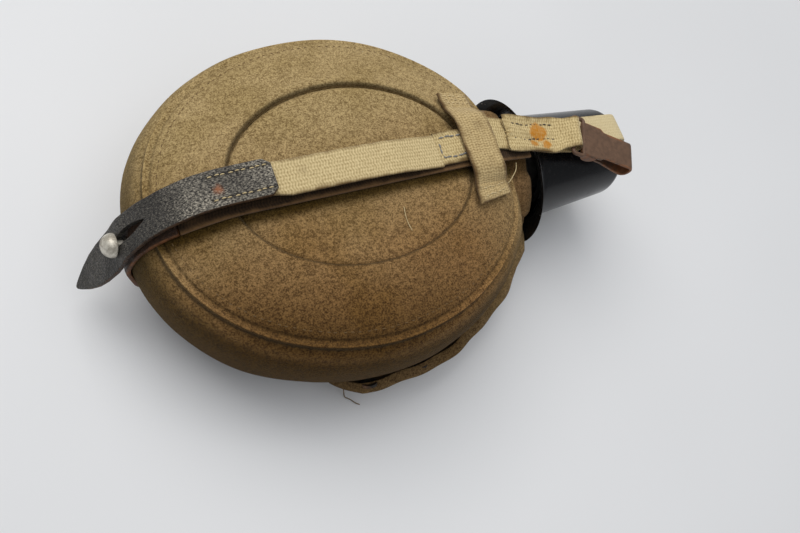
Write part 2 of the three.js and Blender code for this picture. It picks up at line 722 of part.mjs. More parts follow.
// Buckle frame: two round bars joined by two side bars, and a prong that turns on the first bar
{
  const side = BUCKLE_WIDTH / 2;
  const thick = BUCKLE_BAR_RADIUS;
  const rods = [buckle.x, farBar].map((x) => barY(thick, STRAP_SIDE - side, STRAP_SIDE + side, x, buckle.z));
  const rails = [-1, 1].map((way) => {
    const y = STRAP_SIDE + way * side;
    const low = [buckle.x - thick, y - thick, buckle.z - thick];
    return block(low, [farBar + thick, y + thick, buckle.z + thick]);
  });
  place('buckle_frame', join(rods[0], rods[1], ...rails), 'darkSteel');
  const prongFoot = buckle.z - BUCKLE_BAR_RADIUS - GAP;
  const ring = slab(circleOutline(buckle.x, buckle.z, eyeInner + 1.1), PRONG_WIDTH, STRAP_SIDE);
  const tongue = [
    [buckle.x + 1, buckle.z - eyeInner + 0.1],
    [farBar + 2, prongFoot],
    [farBar + 2, prongFoot - PRONG_THICKNESS],
    [buckle.x + 1, buckle.z - eyeInner - 1],
  ];
  const prong = join(ring, slab(tongue, PRONG_WIDTH, STRAP_SIDE));
  const bore = barY(eyeInner - 0.05, STRAP_SIDE - side, STRAP_SIDE + side, buckle.x, buckle.z);
  place('buckle_prong', cut(prong, bore), 'darkSteel');
}

function circleOutline(x, z, radius) {
  const points = [];
  for (let i = 0; i < SMALL_SIDES; i += 1) {
    const angle = (2 * Math.PI * i) / SMALL_SIDES;
    points.push([x + radius * Math.cos(angle), z + radius * Math.sin(angle)]);
  }
  return points;
}

// Main strap over the cup: along its top, down its base, back under it and through the buckle
{
  const start = strapFrontEnd + GAP;
  const round = CUP_BASE_ROUND;
  const face = cupBase + CLEAR;
  const topEdge = cupBaseTop + CLEAR;
  const footEdge = cupBaseFoot - CLEAR;
  const path = [
    [start, runHeight(start)],
    [rimRun, rimTop + CLEAR],
    [cupBase - round, topEdge],
    [cupBase - round * 0.3, topEdge - round * 0.3],
    [face, topEdge - round],
    [face, footEdge + round],
    [cupBase - round * 0.3, footEdge + round * 0.3],
    [cupBase - round, footEdge],
    [rimRun + 1, rimFoot - CLEAR],
    [rimPlace - 2, rimFoot - CLEAR],
    [farBar + 1, tongueTop],
    [farBar - 2, tongueTop],
    [buckle.x + 2, FLOOR_ROOM + BUCKLE_WEB],
    [buckle.x - TONGUE_TAIL, FLOOR_ROOM + BUCKLE_WEB],
  ];
  const strap = slab(thicken(path, BUCKLE_WEB), CUP_STRAP_WIDTH, CUP_STRAP_SIDE);
  const holeLow = [buckle.x + eyeInner, STRAP_SIDE - prongSlot, -1];
  const holeHigh = [farBar + 3, STRAP_SIDE + prongSlot, tongueTop + 1];
  place('cup_strap', cut(strap, block(holeLow, holeHigh)), 'web');
}

// Strap under the keeper, folded back on itself round the hook's eye
const turnPlace = KEEPER_PLACE + KEEPER_WIDTH / 2;
const overStrap = (x) => runHeight(Math.min(x, rimRun)) + STRAP_THICKNESS + 2 * GAP;
const eyeHole = EYE_BAR_RADIUS + EYE_CLEARANCE;
const foldOuter = eyeHole + HOOK_STRAP_THICKNESS;
const foldCentre = { x: CHAPE_FOLD, z: overStrap(CHAPE_FOLD) + foldOuter };

// The strap shifts sideways under the keeper, then turns aside, and its fold is set askew
function turnAside(point) {
  const along = point.x - turnPlace;
  const shift = CHAPE_SIDE * clamp01(1 + along / KEEPER_WIDTH);
  const side = point.y;
  if (along > 0) {
    const askew = clamp01((point.x - CHAPE_START) / (CHAPE_FOLD - CHAPE_START));
    const ahead = along - side * Math.tan(FOLD_SKEW * deg) * askew;
    point.x = turnPlace + ahead * Math.cos(CHAPE_TURN * deg) - side * Math.sin(CHAPE_TURN * deg);
    point.y = ahead * Math.sin(CHAPE_TURN * deg) + side * Math.cos(CHAPE_TURN * deg);
  }
  point.y += shift;
}

{
  const t = HOOK_STRAP_THICKNESS;
  const start = LOOP_HINGE_PLACE + GAP;
  const places = [start, ovalEnd[0], turnPlace, CHAPE_START, rimRun, CHAPE_FOLD];
  const lower = places.map((x) => [x, overStrap(x)]);
  const closing = CHAPE_FOLD - foldOuter * 2.4;
  const upper = [
    [CHAPE_FOLD, foldCentre.z + foldOuter],
    [closing, overStrap(closing) + 2 * t],
    [rimRun, overStrap(rimRun) + 2 * t],
    [CHAPE_START, overStrap(CHAPE_START) + 2 * t],
    [CHAPE_START, overStrap(CHAPE_START) + t],
    [turnPlace, overStrap(turnPlace) + t],
    [ovalEnd[0], overStrap(ovalEnd[0]) + t],
    [start, overStrap(start) + t],
  ];
  const band = slab([...lower, ...upper], HOOK_STRAP_WIDTH);
  const half = HOOK_STRAP_WIDTH / 2;
  const fold = barY(foldOuter, -half, half, foldCentre.x, foldCentre.z);
  const bore = barY(eyeHole, -half - 1, half + 1, foldCentre.x, foldCentre.z);
  const chape = cut(join(band, fold), bore);
  place('hook_strap', bend(chape, turnAside), 'web');
}

// Cross loop over the straps, with its ends sewn to the felt
{
  const straps = KEEPER_THICKNESS + GAP + HOOK_STRAP_THICKNESS + GAP;
  const roof = overStrap(KEEPER_PLACE) - GAP + straps;
  const ceiling = roof - KEEPER_THICKNESS;
  const tunnel = Math.max(STRAP_WIDTH / 2 - STRAP_SIDE, HOOK_STRAP_WIDTH / 2 + CHAPE_SIDE) + CLEAR;
  const shoulder = tunnel + KEEPER_THICKNESS;
  const footHeight = (y) => {
    const share = Math.hypot((KEEPER_PLACE - OVAL_SHIFT) / halfLength, y / (halfWidth * 0.94));
    return domeHeight(share) + KEEPER_THICKNESS;
  };
  const foot = KEEPER_SPAN / 2;
  const rampEnd = shoulder + KEEPER_RAMP;
  const right = [[shoulder, roof], [rampEnd, footHeight(rampEnd)], [foot, footHeight(foot)]];
  const deep = footHeight(foot) - KEEPER_THICKNESS * 4;
  const inside = [[foot, deep], [tunnel, deep], [tunnel, ceiling]];
  const mirrored = (points) => points.map(([y, z]) => [-y, z]).reverse();
  const outline = [...right, ...inside, ...mirrored(inside), ...mirrored(right)];
  const loop = slab(outline, KEEPER_WIDTH);
  loop.rotateZ(Math.PI / 2);
  const feltAt = (x) => domeHeight(x / halfLength);
  const halfBand = KEEPER_WIDTH / 2;
  const feltSlope = (feltAt(KEEPER_PLACE - halfBand) - feltAt(KEEPER_PLACE + halfBand)) / KEEPER_WIDTH;
  bend(loop, (point) => {
    const away = clamp01((Math.abs(point.y) - shoulder) / KEEPER_RAMP);
    point.z -= point.x * mix(runDrop, feltSlope, away);
    point.x += KEEPER_PLACE;
  });
  place('keeper_loop', cut(loop, skin), 'web');
}

// Belt loop: webbing hinged at the box stitch, rising clear of the main strap
const strapTop = crownTop + STRAP_THICKNESS;
const loopLevel = strapTop + LOOP_GAP;
{
  const hinge = LOOP_HINGE_PLACE;
  const path = [
    [TAB_START - 20, loopLevel - 1.6],
    [TAB_START, loopLevel - 0.3],
    [0, loopLevel],
    [hinge - 24, loopLevel - 0.8],
    [hinge - 10, strapTop + 1.8],
    [hinge, strapTop + GAP],
  ];
  place('belt_loop_web', slab(thicken(path, LOOP_WEB_THICKNESS), LOOP_WEB_WIDTH), 'web');
}

// Stud on the leather at the bottle's bottom, with a washer under the tab
const studUp = unit(flatLow, flatHigh);
const studOut = [-studUp[1], studUp[0]];
const studLean = Math.atan2(studOut[1], -studOut[0]);
const tabClear = WASHER_THICKNESS + 3 * GAP;

// Point by the stud: up along the leather and out from its outer face
function byStud(up, out) {
  const far = LEATHER_THICKNESS + out;
  return [0, 1].map((k) => (flatLow[k] + flatHigh[k]) / 2 + studUp[k] * up + studOut[k] * far);
}

// Turns a piece built with its axis along -X to the stud's axis and sets it on the leather
function seatOnStud(geometry) {
  const [x, z] = byStud(0, 0);
  geometry.rotateY(studLean);
  geometry.translate(x, STRAP_SIDE / 2, z);
  return geometry;
}

// Round piece about the stud's axis, from [radius, distance from the leather] points
function onStud(profile) {
  const geometry = new THREE.LatheGeometry(profile.map(([r, h]) => new THREE.Vector2(r, h)), SMALL_SIDES);
  geometry.rotateZ(Math.PI / 2);
  return seatOnStud(geometry);
}

{
  const washerTop = GAP + WASHER_THICKNESS;
  const neck = STUD_NECK_RADIUS;
  const bore = neck + GAP;
  const edge = WASHER_RADIUS;
  const washer = [[bore, GAP], [edge, GAP], [edge, washerTop], [bore, washerTop], [bore, GAP]];
  place('stud_washer', onStud(washer), 'darkSteel');
  const headFoot = tabClear + LEATHER_THICKNESS + 2 * GAP;
  const dome = spread(0, Math.PI / 2, 5).map((angle) => [
    STUD_HEAD_RADIUS * Math.cos(angle),
    headFoot + 0.8 + (STUD_HEAD_RISE - 0.8) * Math.sin(angle),
  ]);
  const stud = [[0, GAP], [neck, GAP], [neck, headFoot], [STUD_HEAD_RADIUS, headFoot], ...dome.slice(0, -1)];
  place('belt_stud', onStud([...stud, [0, headFoot + STUD_HEAD_RISE]]), 'studMetal');
}

// Leather tab of the belt loop: over the webbing, down past the stud, with a slit and a pointed end
{
  const lift = LOOP_WEB_THICKNESS + GAP;
  const low = byStud(-STUD_HEAD_RADIUS - STUD_SEAT, tabClear);
  const follow = (up, out) => bottomPoint(domeShare(STUD_HEIGHT + up), true, CLEAR + LEATHER_THICKNESS + out);
  const path = [
    ...[1, 0.57, 0.2].map((share) => [low[0] - TAB_KICK * share, low[1] - TAB_HANG * share]),
    low,
    byStud(STUD_HEAD_RADIUS + STUD_SEAT, tabClear),
    follow(15, tabClear + 1.2),
    follow(21, tabClear + 3),
    [TAB_START - 33, loopLevel - 4 + lift],
    [TAB_START - 22, loopLevel - 1.4 + lift],
    [TAB_START, loopLevel + lift],
  ];
  const breadth = [0.14, 0.72, 1.05, 1.16, 1.14, 1.05];
  const band = slab(thicken(path, LEATHER_THICKNESS), TAB_WIDTH);
  const tab = bend(band, (point) => {
    const distance = path.map(([x, z]) => Math.hypot(point.x - x, point.z - z));
    point.y *= breadth[distance.indexOf(Math.min(...distance))] ?? 1;
  });
  const slitHalf = STUD_NECK_RADIUS + CLEAR;
  const slit = block([-12, -slitHalf, -slitHalf], [0, slitHalf, SLIT_LENGTH - slitHalf]);
  place('belt_loop_tab', cut(tab, seatOnStud(slit)), 'leather');
}

// Snap hook, built along its own X from the eye bar and laid on the cup at an angle
const hook = new THREE.Group();
{
  const eyePlace = new THREE.Vector3(CHAPE_FOLD, 0, foldCentre.z);
  turnAside(eyePlace);
  hook.position.copy(eyePlace);
  hook.rotation.set(0, HOOK_DIP * deg, HOOK_TURN * deg, 'ZYX');
  canteen.add(hook);

  const eyeHalf = HOOK_STRAP_WIDTH / 2 + EYE_SIDE_ROOM;
  const rail = HOOK_RAIL;
  const foldFront = foldOuter * Math.cos((CHAPE_TURN - HOOK_TURN) * deg);
  const neckStartX = foldFront + EYE_SWAY + YOKE_ROOM;
  const yokeEnd = neckStartX + 2.5;
  const stepX = neckStartX + HOOK_NECK_LENGTH;
  const pinX = neckStartX + HOOK_PIN_PLACE;
  const pinZ = -HOOK_PIN_DROP;
  const plateFoot = -HOOK_PLATE_DROP;
  const top = plateFoot + HOOK_PLATE;
  const bar = barY(EYE_BAR_RADIUS, -eyeHalf - rail, eyeHalf + rail, 0, 0);
  const rails = [-1, 1].map((way) => {
    const y = way * (eyeHalf + rail / 2);
    const low = [-EYE_BAR_RADIUS, y - rail / 2, -EYE_BAR_RADIUS];
    return block(low, [yokeEnd, y + rail / 2, EYE_BAR_RADIUS]);
  });
  const yoke = block([neckStartX, -eyeHalf - rail, plateFoot], [yokeEnd, eyeHalf + rail, top]);
  const neckHalf = HOOK_NECK_WIDTH / 2;
  const neck = block([neckStartX, -neckHalf, plateFoot], [stepX + 2, neckHalf, top]);
  const bendRadius = HOOK_THROAT / 2 + HOOK_PLATE;
  const plate = block([stepX, -HOOK_WIDTH / 2, plateFoot], [HOOK_LENGTH, HOOK_WIDTH / 2, top]);
  const bendX = HOOK_LENGTH - 1;
  const arc = spread(Math.PI / 2, -Math.PI / 2, 7).map((angle) => [
    bendX + bendRadius * 0.55 * Math.cos(angle),
    top - bendRadius + bendRadius * Math.sin(angle),
  ]);
  const legFoot = top - 2 * bendRadius;
  const legEnd = pinX + GATE_LENGTH - 4;
  const legPath = [[stepX + 8, top], ...arc, [legEnd, legFoot], [legEnd - 2, legFoot + HOOK_PLATE]];
  const leg = slab(thicken(legPath.reverse(), HOOK_PLATE), HOOK_LEG_WIDTH);
  const lugHalf = HOOK_PIN_RADIUS + 1.2;
  const lugs = [-1, 1].map((way) => {
    const y = (way * (GATE_WIDTH + LUG_THICKNESS)) / 2 + way * GAP;
    const low = [pinX - lugHalf, y - LUG_THICKNESS / 2, pinZ - lugHalf];
    return block(low, [pinX + lugHalf, y + LUG_THICKNESS / 2, 0]);
  });
  const pinBore = barY(HOOK_PIN_RADIUS + GAP, -HOOK_WIDTH, HOOK_WIDTH, pinX, pinZ);
  const body = cut(join(bar, ...rails, yoke, neck, plate, leg, ...lugs), pinBore);
  place('hook_body', body, 'brownSteel', hook);

  const pinHalf = GATE_WIDTH / 2 + GAP + LUG_THICKNESS + 0.2;
  place('hook_pin', barY(HOOK_PIN_RADIUS, -pinHalf, pinHalf, pinX, pinZ), 'darkSteel', hook);

  const legTop = legFoot + HOOK_PLATE + GAP;
  const gateEnd = pinX + GATE_LENGTH;
  const eye = slab(circleOutline(pinX, pinZ, HOOK_PIN_RADIUS + 1.1), GATE_WIDTH);
  const blade = [
    [pinX, pinZ + 1.6],
    [pinX - 0.6, pinZ - 1.4],
    [gateEnd - 2, legTop],
    [gateEnd, legTop],
    [gateEnd, legTop + 1.2],
  ];
  place('hook_gate', cut(join(eye, slab(blade, GATE_WIDTH)), pinBore), 'brownSteel', hook);

  const springTop = plateFoot - GAP;
  const springPath = [
    [gateEnd - 1.5, legTop + 2.4],
    [gateEnd + 4, springTop - 2 * SPRING_THICKNESS],
    [gateEnd + 9, springTop - SPRING_THICKNESS],
    [HOOK_LENGTH - 3, springTop - SPRING_THICKNESS],
  ];
  place('hook_spring', slab(thicken(springPath, SPRING_THICKNESS), GATE_WIDTH - 2), 'darkSteel', hook);
}

// Felt flap over the cover's opening, flaring out to a free lip
const flapFlare = (angle) => {
  const along = (angle - FLAP_FROM) / (FLAP_TO - FLAP_FROM);
  return mix(FLAP_FLARE_START, FLAP_FLARE_END, along);
};

// Point beside the body at an outline angle and a height, with the outward way in plan
function besideBody(angle, height, out) {
  const share = height > WAIST_HEIGHT ? domeShare(height) : bellyShare(height);
  const halfX = halfLength * share;
  const halfY = halfWidth * share;
  const x = halfX * Math.cos(angle * deg);
  const y = halfY * Math.sin(angle * deg);
  const size = Math.hypot(x / halfX ** 2, y / halfY ** 2);
  const way = [x / halfX ** 2 / size, y / halfY ** 2 / size];
  return { point: [x + way[0] * out, y + way[1] * out, height], way };
}

const flapOut = (angle, height) => {
  const climb = (height - FLAP_FOOT_HEIGHT) / (FLAP_LIP_HEIGHT - FLAP_FOOT_HEIGHT);
  return CLEAR * 2 + flapFlare(angle) * climb;
};

{
  const heights = spread(FLAP_FOOT_HEIGHT, FLAP_LIP_HEIGHT, 4);
  const rings = spread(FLAP_FROM, FLAP_TO, 13).map((angle) => {
    const inner = heights.map((height) => besideBody(angle, height, flapOut(angle, height)).point);
    const far = (height) => flapOut(angle, height) + FLAP_THICKNESS;
    const outer = heights.map((height) => besideBody(angle, height, far(height)).point);
    return [...inner, ...outer.reverse()];
  });
  place('cover_flap', loft(rings), 'felt');
}

// Press fasteners in the opening: a stud on the wall and a socket on the flap at each place
for (let i = 0; i < SNAP_COUNT; i += 1) {
  const angle = mix(FLAP_FROM, FLAP_TO, (i + 0.6) / (SNAP_COUNT + 0.2));
  // Round piece seated on a face that stands out from the body by a distance at each height
  const seated = (profile, outAt) => {
    const at = (height) => new THREE.Vector3(...besideBody(angle, height, outAt(height)).point);
    const rise = at(SNAP_HEIGHT + SNAP_RADIUS).sub(at(SNAP_HEIGHT - SNAP_RADIUS)).normalize();
    const [wayX, wayY] = besideBody(angle, SNAP_HEIGHT, 0).way;
    const facing = new THREE.Vector3(wayX, wayY, 0);
    facing.addScaledVector(rise, -facing.dot(rise)).normalize();
    const geometry = new THREE.LatheGeometry(profile.map(([r, h]) => new THREE.Vector2(r, h)), SMALL_SIDES);
    geometry.applyQuaternion(new THREE.Quaternion().setFromUnitVectors(new THREE.Vector3(0, 1, 0), facing));
    geometry.translate(...at(SNAP_HEIGHT).toArray());
    return geometry;
  };
  const rim = SNAP_RADIUS;
  const knob = SNAP_KNOB_RADIUS;
  const studTop = SNAP_BASE + SNAP_KNOB;
  const stud = [[0, -1], [rim, -1], [rim, SNAP_BASE], [knob, SNAP_BASE], [knob, studTop], [0, studTop]];
  place(`snap_stud_${i + 1}`, cut(seated(stud, () => GAP), skin), 'darkSteel');
  const bore = knob + CLEAR * 2;
  const top = -CLEAR - GAP;
  const foot = top - SNAP_SOCKET;
  const socket = [[bore, foot], [rim, foot], [rim, top], [bore, top], [bore, foot]];
  place(`snap_socket_${i + 1}`, seated(socket, (height) => flapOut(angle, height)), 'darkSteel');
}

// Origin at the middle of the underside of the whole part
const bounds = new THREE.Box3().setFromObject(canteen, true);
const middle = bounds.getCenter(new THREE.Vector3());
canteen.position.set(-middle.x, -middle.y, -bounds.min.z);
canteen.updateMatrixWorld(true);

export default canteen;
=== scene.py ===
import bpy
import numpy as np
from mathutils import Matrix, Vector


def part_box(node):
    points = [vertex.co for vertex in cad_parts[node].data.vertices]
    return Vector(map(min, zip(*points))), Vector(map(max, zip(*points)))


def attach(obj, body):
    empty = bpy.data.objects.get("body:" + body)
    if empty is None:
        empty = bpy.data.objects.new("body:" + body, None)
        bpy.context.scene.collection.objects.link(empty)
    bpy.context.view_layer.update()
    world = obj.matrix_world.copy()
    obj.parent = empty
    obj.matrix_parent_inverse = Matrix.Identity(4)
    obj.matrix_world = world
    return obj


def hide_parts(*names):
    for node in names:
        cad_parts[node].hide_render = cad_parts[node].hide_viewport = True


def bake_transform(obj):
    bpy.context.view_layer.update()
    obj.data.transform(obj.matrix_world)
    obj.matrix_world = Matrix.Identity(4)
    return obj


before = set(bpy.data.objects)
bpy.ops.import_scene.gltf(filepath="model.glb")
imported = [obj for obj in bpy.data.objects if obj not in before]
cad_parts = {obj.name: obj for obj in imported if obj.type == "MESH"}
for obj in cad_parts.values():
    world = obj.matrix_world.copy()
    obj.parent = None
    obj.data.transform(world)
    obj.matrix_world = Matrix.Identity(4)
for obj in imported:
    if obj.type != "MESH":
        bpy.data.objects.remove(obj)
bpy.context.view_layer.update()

# Table and daylight: a plain pale top, lit softly from the far side and from above.
# The camera looks down from beyond the bottle's bottom. None of this is part of the canteen.
scene = bpy.context.scene
scene.view_settings.view_transform = "Standard"


def tone(red, green, blue):
    """Linear colour of a screen colour given from 0 to 255: ((c + 0.055) / 1.055) to the power 2.4."""
    linear = ((np.array([red, green, blue]) / 255 + 0.055) / 1.055) ** 2.4
    return (*linear.tolist(), 1.0)


def put(tree, kind, inputs=None, **settings):
    """One shader node: its settings, then a value or another node's output on each input."""
    node = tree.nodes.new(kind)
    for key, value in settings.items():
        setattr(node, key, value)
    for key, value in (inputs or {}).items():
        if isinstance(value, bpy.types.NodeSocket):
            tree.links.new(value, node.inputs[key])
        else:
            node.inputs[key].default_value = value
    return node


def between(tree, share, first, second):
    """Colour between two: the first where share is 0 and the second where it is 1."""
    node = put(tree, "ShaderNodeMix", {0: share, 6: first, 7: second}, data_type="RGBA")
    return node.outputs[2]


def ranged(tree, value, low, high, to_low=0.0, to_high=1.0):
    """Value carried from one range to another along a smooth step, and held at the ends."""
    inputs = {"Value": value, "From Min": low, "From Max": high, "To Min": to_low, "To Max": to_high}
    return put(tree, "ShaderNodeMapRange", inputs, interpolation_type="SMOOTHSTEP").outputs[0]


def sums(tree, operation, first, second=0.0):
    """One sum on two values or outputs."""
    return put(tree, "ShaderNodeMath", {0: first, 1: second}, operation=operation).outputs[0]


def grain(tree, coords, scale, detail=2.0, roughness=0.5):
    """Cloudy noise from 0 to 1 with about scale features in a metre."""
    inputs = {"Vector": coords, "Scale": scale, "Detail": detail, "Roughness": roughness}
    return put(tree, "ShaderNodeTexNoise", inputs).outputs[0]


def material(name, plain):
    """A material, its node tree and its Principled shader, with plain values on the shader's own sockets."""
    made = bpy.data.materials.new(name)
    made.use_nodes = True
    shader = made.node_tree.nodes["Principled BSDF"]
    for key, value in plain.items():
        shader.inputs[key].default_value = value
    return made, made.node_tree, shader


def bumped(tree, shader, height, strength, distance):
    """Bump from a height, in metres at full strength, on the shader's normal."""
    inputs = {"Strength": strength, "Distance": distance, "Height": height}
    tree.links.new(put(tree, "ShaderNodeBump", inputs).outputs[0], shader.inputs["Normal"])


def lamp(name, place, aim, size, power, colour):
    """Square soft light at a place, turned to an aim."""
    data = bpy.data.lights.new(name, "AREA")
    data.size = size
    data.energy = power
    data.color = colour
    made = bpy.data.objects.new(name, data)
    scene.collection.objects.link(made)
    back = (Vector(place) - Vector(aim)).normalized()
    made.matrix_world = Matrix.Translation(place) @ back.to_track_quat("Z", "Y").to_matrix().to_4x4()


view = bpy.data.cameras.new("view")
view.lens = 33.33
view.sensor_width = 36
camera = bpy.data.objects.new("view", view)
scene.collection.objects.link(camera)
camera.matrix_world = Matrix((
    (0.8872, 0.2366, -0.3962, -0.14787),
    (-0.3460, 0.9091, -0.2319, -0.119177),
    (0.3054, 0.3428, 0.8884, 0.3731),
    (0, 0, 0, 1)))
scene.camera = camera

world = bpy.data.worlds.new("daylight")
world.use_nodes = True
scene.world = world
world.node_tree.nodes["Background"].inputs["Color"].default_value = (0.93, 0.96, 1.0, 1)
world.node_tree.nodes["Background"].inputs["Strength"].default_value = 0.3
lamp("window", (-0.25, 0.85, 1.5), (0, 0.02, 0.05), 1.4, 16.8, (1.0, 0.985, 0.96))
lamp("ceiling", (0.15, -0.1, 1.7), (0, 0, 0), 1.6, 8.4, (0.985, 0.985, 0.985))

table_white, table_tree, table_shader = material("table_white", {"Roughness": 0.6})
table_coords = put(table_tree, "ShaderNodeTexCoord").outputs["Object"]
table_cloud = ranged(table_tree, grain(table_tree, table_coords, 3.0), 0.3, 0.7)
table_tint = between(table_tree, table_cloud, tone(230, 231, 233), tone(235, 236, 238))
table_tree.links.new(table_tint, table_shader.inputs["Base Color"])
table_mesh = bpy.data.meshes.new("table")
table_mesh.from_pydata([(-3, -3, 0), (3, -3, 0), (3, 3, 0), (-3, 3, 0)], [], [(0, 1, 2, 3)])
table_mesh.materials.append(table_white)
table = bpy.data.objects.new("table", table_mesh)
scene.collection.objects.link(table)

# Flask: a drawn aluminium bottle inside the felt, with a neck along +X that carries a rolled thread.
# Only the neck shows, when the cup and the cap are off.
HALF_LENGTH, HALF_WIDTH, WAIST = 99.0, 85.0, 45.0
FRONT_RISE, FRONT_POWER, BACK_DROP, BACK_POWER = 45.3, 2.5, 54.7, 2.2
OVAL, OVAL_NARROWING, OVAL_SHIFT = 118 / 198, (89.5 / 118) * (198 / 170), 2.8
FELT, CLEAR, GAP = 3.5, 0.4, 0.3
NECK_Z, NECK_R, NECK_END = 41.0, 16.5, 129.0
back_low, back_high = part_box("cover_back")
body_middle = np.array([(back_low.x + back_high.x) * 500, (back_low.y + back_high.y) * 500, 0])


def quarter(share, power):
    """Other coordinate of a superellipse's quarter, as a share: (1 - share^power)^(1/power)."""
    return np.maximum(0, 1 - np.clip(share, 0, 1) ** power) ** (1 / power)


def dome(share):
    """Height of the worn face: the waist plus the rise times a superellipse quarter."""
    return WAIST + FRONT_RISE * quarter(share, FRONT_POWER)


def belly(share):
    """Height of the outer face: the waist less the drop times a superellipse quarter, cut off at the table."""
    return np.maximum(0, WAIST - BACK_DROP * quarter(share, BACK_POWER))


def dome_share(height):
    """Share of the outline at which the worn face has a height."""
    return quarter((np.asarray(height) - WAIST) / FRONT_RISE, FRONT_POWER)


def belly_share(height):
    """Share of the outline at which the outer face has a height."""
    return quarter((WAIST - np.asarray(height)) / BACK_DROP, BACK_POWER)


SEAM = float(dome_share(70.6))
RIM_Z = float(dome(OVAL))


def cover(share, depth, angle, front=True):
    """Rings of points on the covered body, one for each share of its outline, at a depth under its face.
    A ring is an ellipse; depth goes in along the slope's normal; towards the oval panel the ring narrows
    and shifts along."""
    share = np.asarray(share, float)[:, None]
    height = dome if front else belly
    near = np.clip((SEAM - share) / (SEAM - OVAL), 0, 1) * front
    low, high = np.maximum(0, share - 1e-4), np.minimum(1, share + 1e-4)
    rise = (height(high) - height(low)) / (high - low)
    size = np.hypot(rise, (HALF_LENGTH + HALF_WIDTH) / 2)
    sign = 1 if front else -1
    outward, upward = -sign * rise / size, sign * (HALF_LENGTH + HALF_WIDTH) / 2 / size
    narrow = 1 + (OVAL_NARROWING - 1) * near
    x = OVAL_SHIFT * near + (HALF_LENGTH * share - outward * depth) * np.cos(angle)
    y = (HALF_WIDTH * share * narrow - outward * depth) * np.sin(angle)
    return np.stack(np.broadcast_arrays(x, y, height(share) - upward * depth), -1)


def panel(share, depth, angle):
    """Rings of points on the oval panel: a shallow paraboloid a step below the felt round it."""
    share = np.asarray(share, float)[:, None]
    x = OVAL_SHIFT + HALF_LENGTH * share * np.cos(angle)
    y = HALF_WIDTH * OVAL_NARROWING * share * np.sin(angle)
    z = RIM_Z - 1.4 + 1.6 * (1 - (share / OVAL) ** 2) - depth
    return np.stack(np.broadcast_arrays(x, y, z), -1)


def shell(points, looped=False, uv=None, edge=None, inside=False):
    """Closed skin over rings of points: quads join each ring to the next, round the ring. Looped rings join
    the last to the first; otherwise a fan over the ring's mean closes each end. Faces are turned so that
    the volume, the sum of a.(b x c) / 6, is positive, or negative for an inside. Four dimensions make a
    row of like skins."""
    points = np.asarray(points, float)
    points = points if points.ndim == 4 else points[None]
    copies, rings, sides = points.shape[:3]
    values = np.zeros((copies, rings, sides, 3))
    if uv is not None:
        values[..., :2] = uv
    if edge is not None:
        values[..., 2] = edge
    number = np.arange(rings * sides).reshape(rings, sides)
    here = number if looped else number[:-1]
    there = np.roll(number, -1, 0) if looped else number[1:]
    quads = np.stack([here, np.roll(here, -1, 1), np.roll(there, -1, 1), there], -1).reshape(-1, 4)
    fans = np.zeros((0, 3), int)
    spots, marks = points.reshape(copies, -1, 3), values.reshape(copies, -1, 3)
    if not looped:
        spots = np.concatenate([spots, points[:, [0, -1]].mean(2)], 1)
        marks = np.concatenate([marks, values[:, [0, -1]].mean(2)], 1)
        middle = np.full(sides, rings * sides)
        first = np.stack([middle, np.roll(number[0], -1), number[0]], -1)
        last = np.stack([middle + 1, number[-1], np.roll(number[-1], -1)], -1)
        fans = np.concatenate([first, last])
    trio = np.concatenate([quads[:, :3], quads[:, [0, 2, 3]], fans])
    a, b, c = (spots[0][trio[:, k]] - spots[0].mean(0) for k in range(3))
    if ((a * np.cross(b, c)).sum() < 0) != inside:
        quads, fans = quads[:, ::-1], fans[:, ::-1]
    step = spots.shape[1] * np.arange(copies)[:, None, None]
    return spots.reshape(-1, 3), (quads + step).reshape(-1, 4), (fans + step).reshape(-1, 3), marks.reshape(-1, 3)


def piece(name, shells, finish, body, replaced=(), crease=38):
    """Object from skins in millimetres about the body's middle, with a UV map in centimetres and an edge
    attribute, that rides on a body given by its name and stands for CAD nodes; a body given as more than a name is not
    used, and the object then stays where it is. Folds sharper than crease degrees stay sharp."""
    counts = np.cumsum([0] + [len(part[0]) for part in shells])
    spots = np.concatenate([part[0] for part in shells])
    quads = np.concatenate([part[1] + start for part, start in zip(shells, counts)])
    fans = np.concatenate([part[2] + start for part, start in zip(shells, counts)])
    marks = np.concatenate([part[3] for part in shells])
    corners = np.concatenate([quads.ravel(), fans.ravel()])
    sizes = np.concatenate([np.full(len(quads), 4), np.full(len(fans), 3)])
    mesh = bpy.data.meshes.new(name)
    mesh.vertices.add(len(spots))
    mesh.vertices.foreach_set("co", ((spots + body_middle) / 1000).ravel())
    mesh.loops.add(len(corners))
    mesh.loops.foreach_set("vertex_index", corners)
    mesh.polygons.add(len(sizes))
    mesh.polygons.foreach_set("loop_start", np.cumsum(sizes) - sizes)
    mesh.polygons.foreach_set("use_smooth", np.ones(len(sizes), bool))
    mesh.uv_layers.new(name="UVMap").data.foreach_set("uv", marks[corners, :2].ravel())
    mesh.attributes.new("edge", "FLOAT", "POINT").data.foreach_set("value", marks[:, 2])
    mesh.update(calc_edges=True)
    mesh.set_sharp_from_angle(angle=np.radians(crease))
    mesh.materials.append(finish)
    made = bpy.data.objects.new(name, mesh)
    scene.collection.objects.link(made)
    if isinstance(body, str):
        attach(made, body)
    else:
        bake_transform(made)
    if replaced:
        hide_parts(*replaced)
    return made


def turned(along, radius, sides, squash=1.0):
    """Rings about the neck's axis: the ring at x has that radius, and its height is squashed by a factor."""
    angle = np.linspace(0, 2 * np.pi, sides, endpoint=False)
    along, radius = np.asarray(along, float)[:, None], np.asarray(radius, float)
    radius = radius if radius.ndim == 2 else radius[:, None]
    y, z = radius * np.cos(angle), NECK_Z + squash * radius * np.sin(angle)
    return np.stack(np.broadcast_arrays(along, y, z), -1)


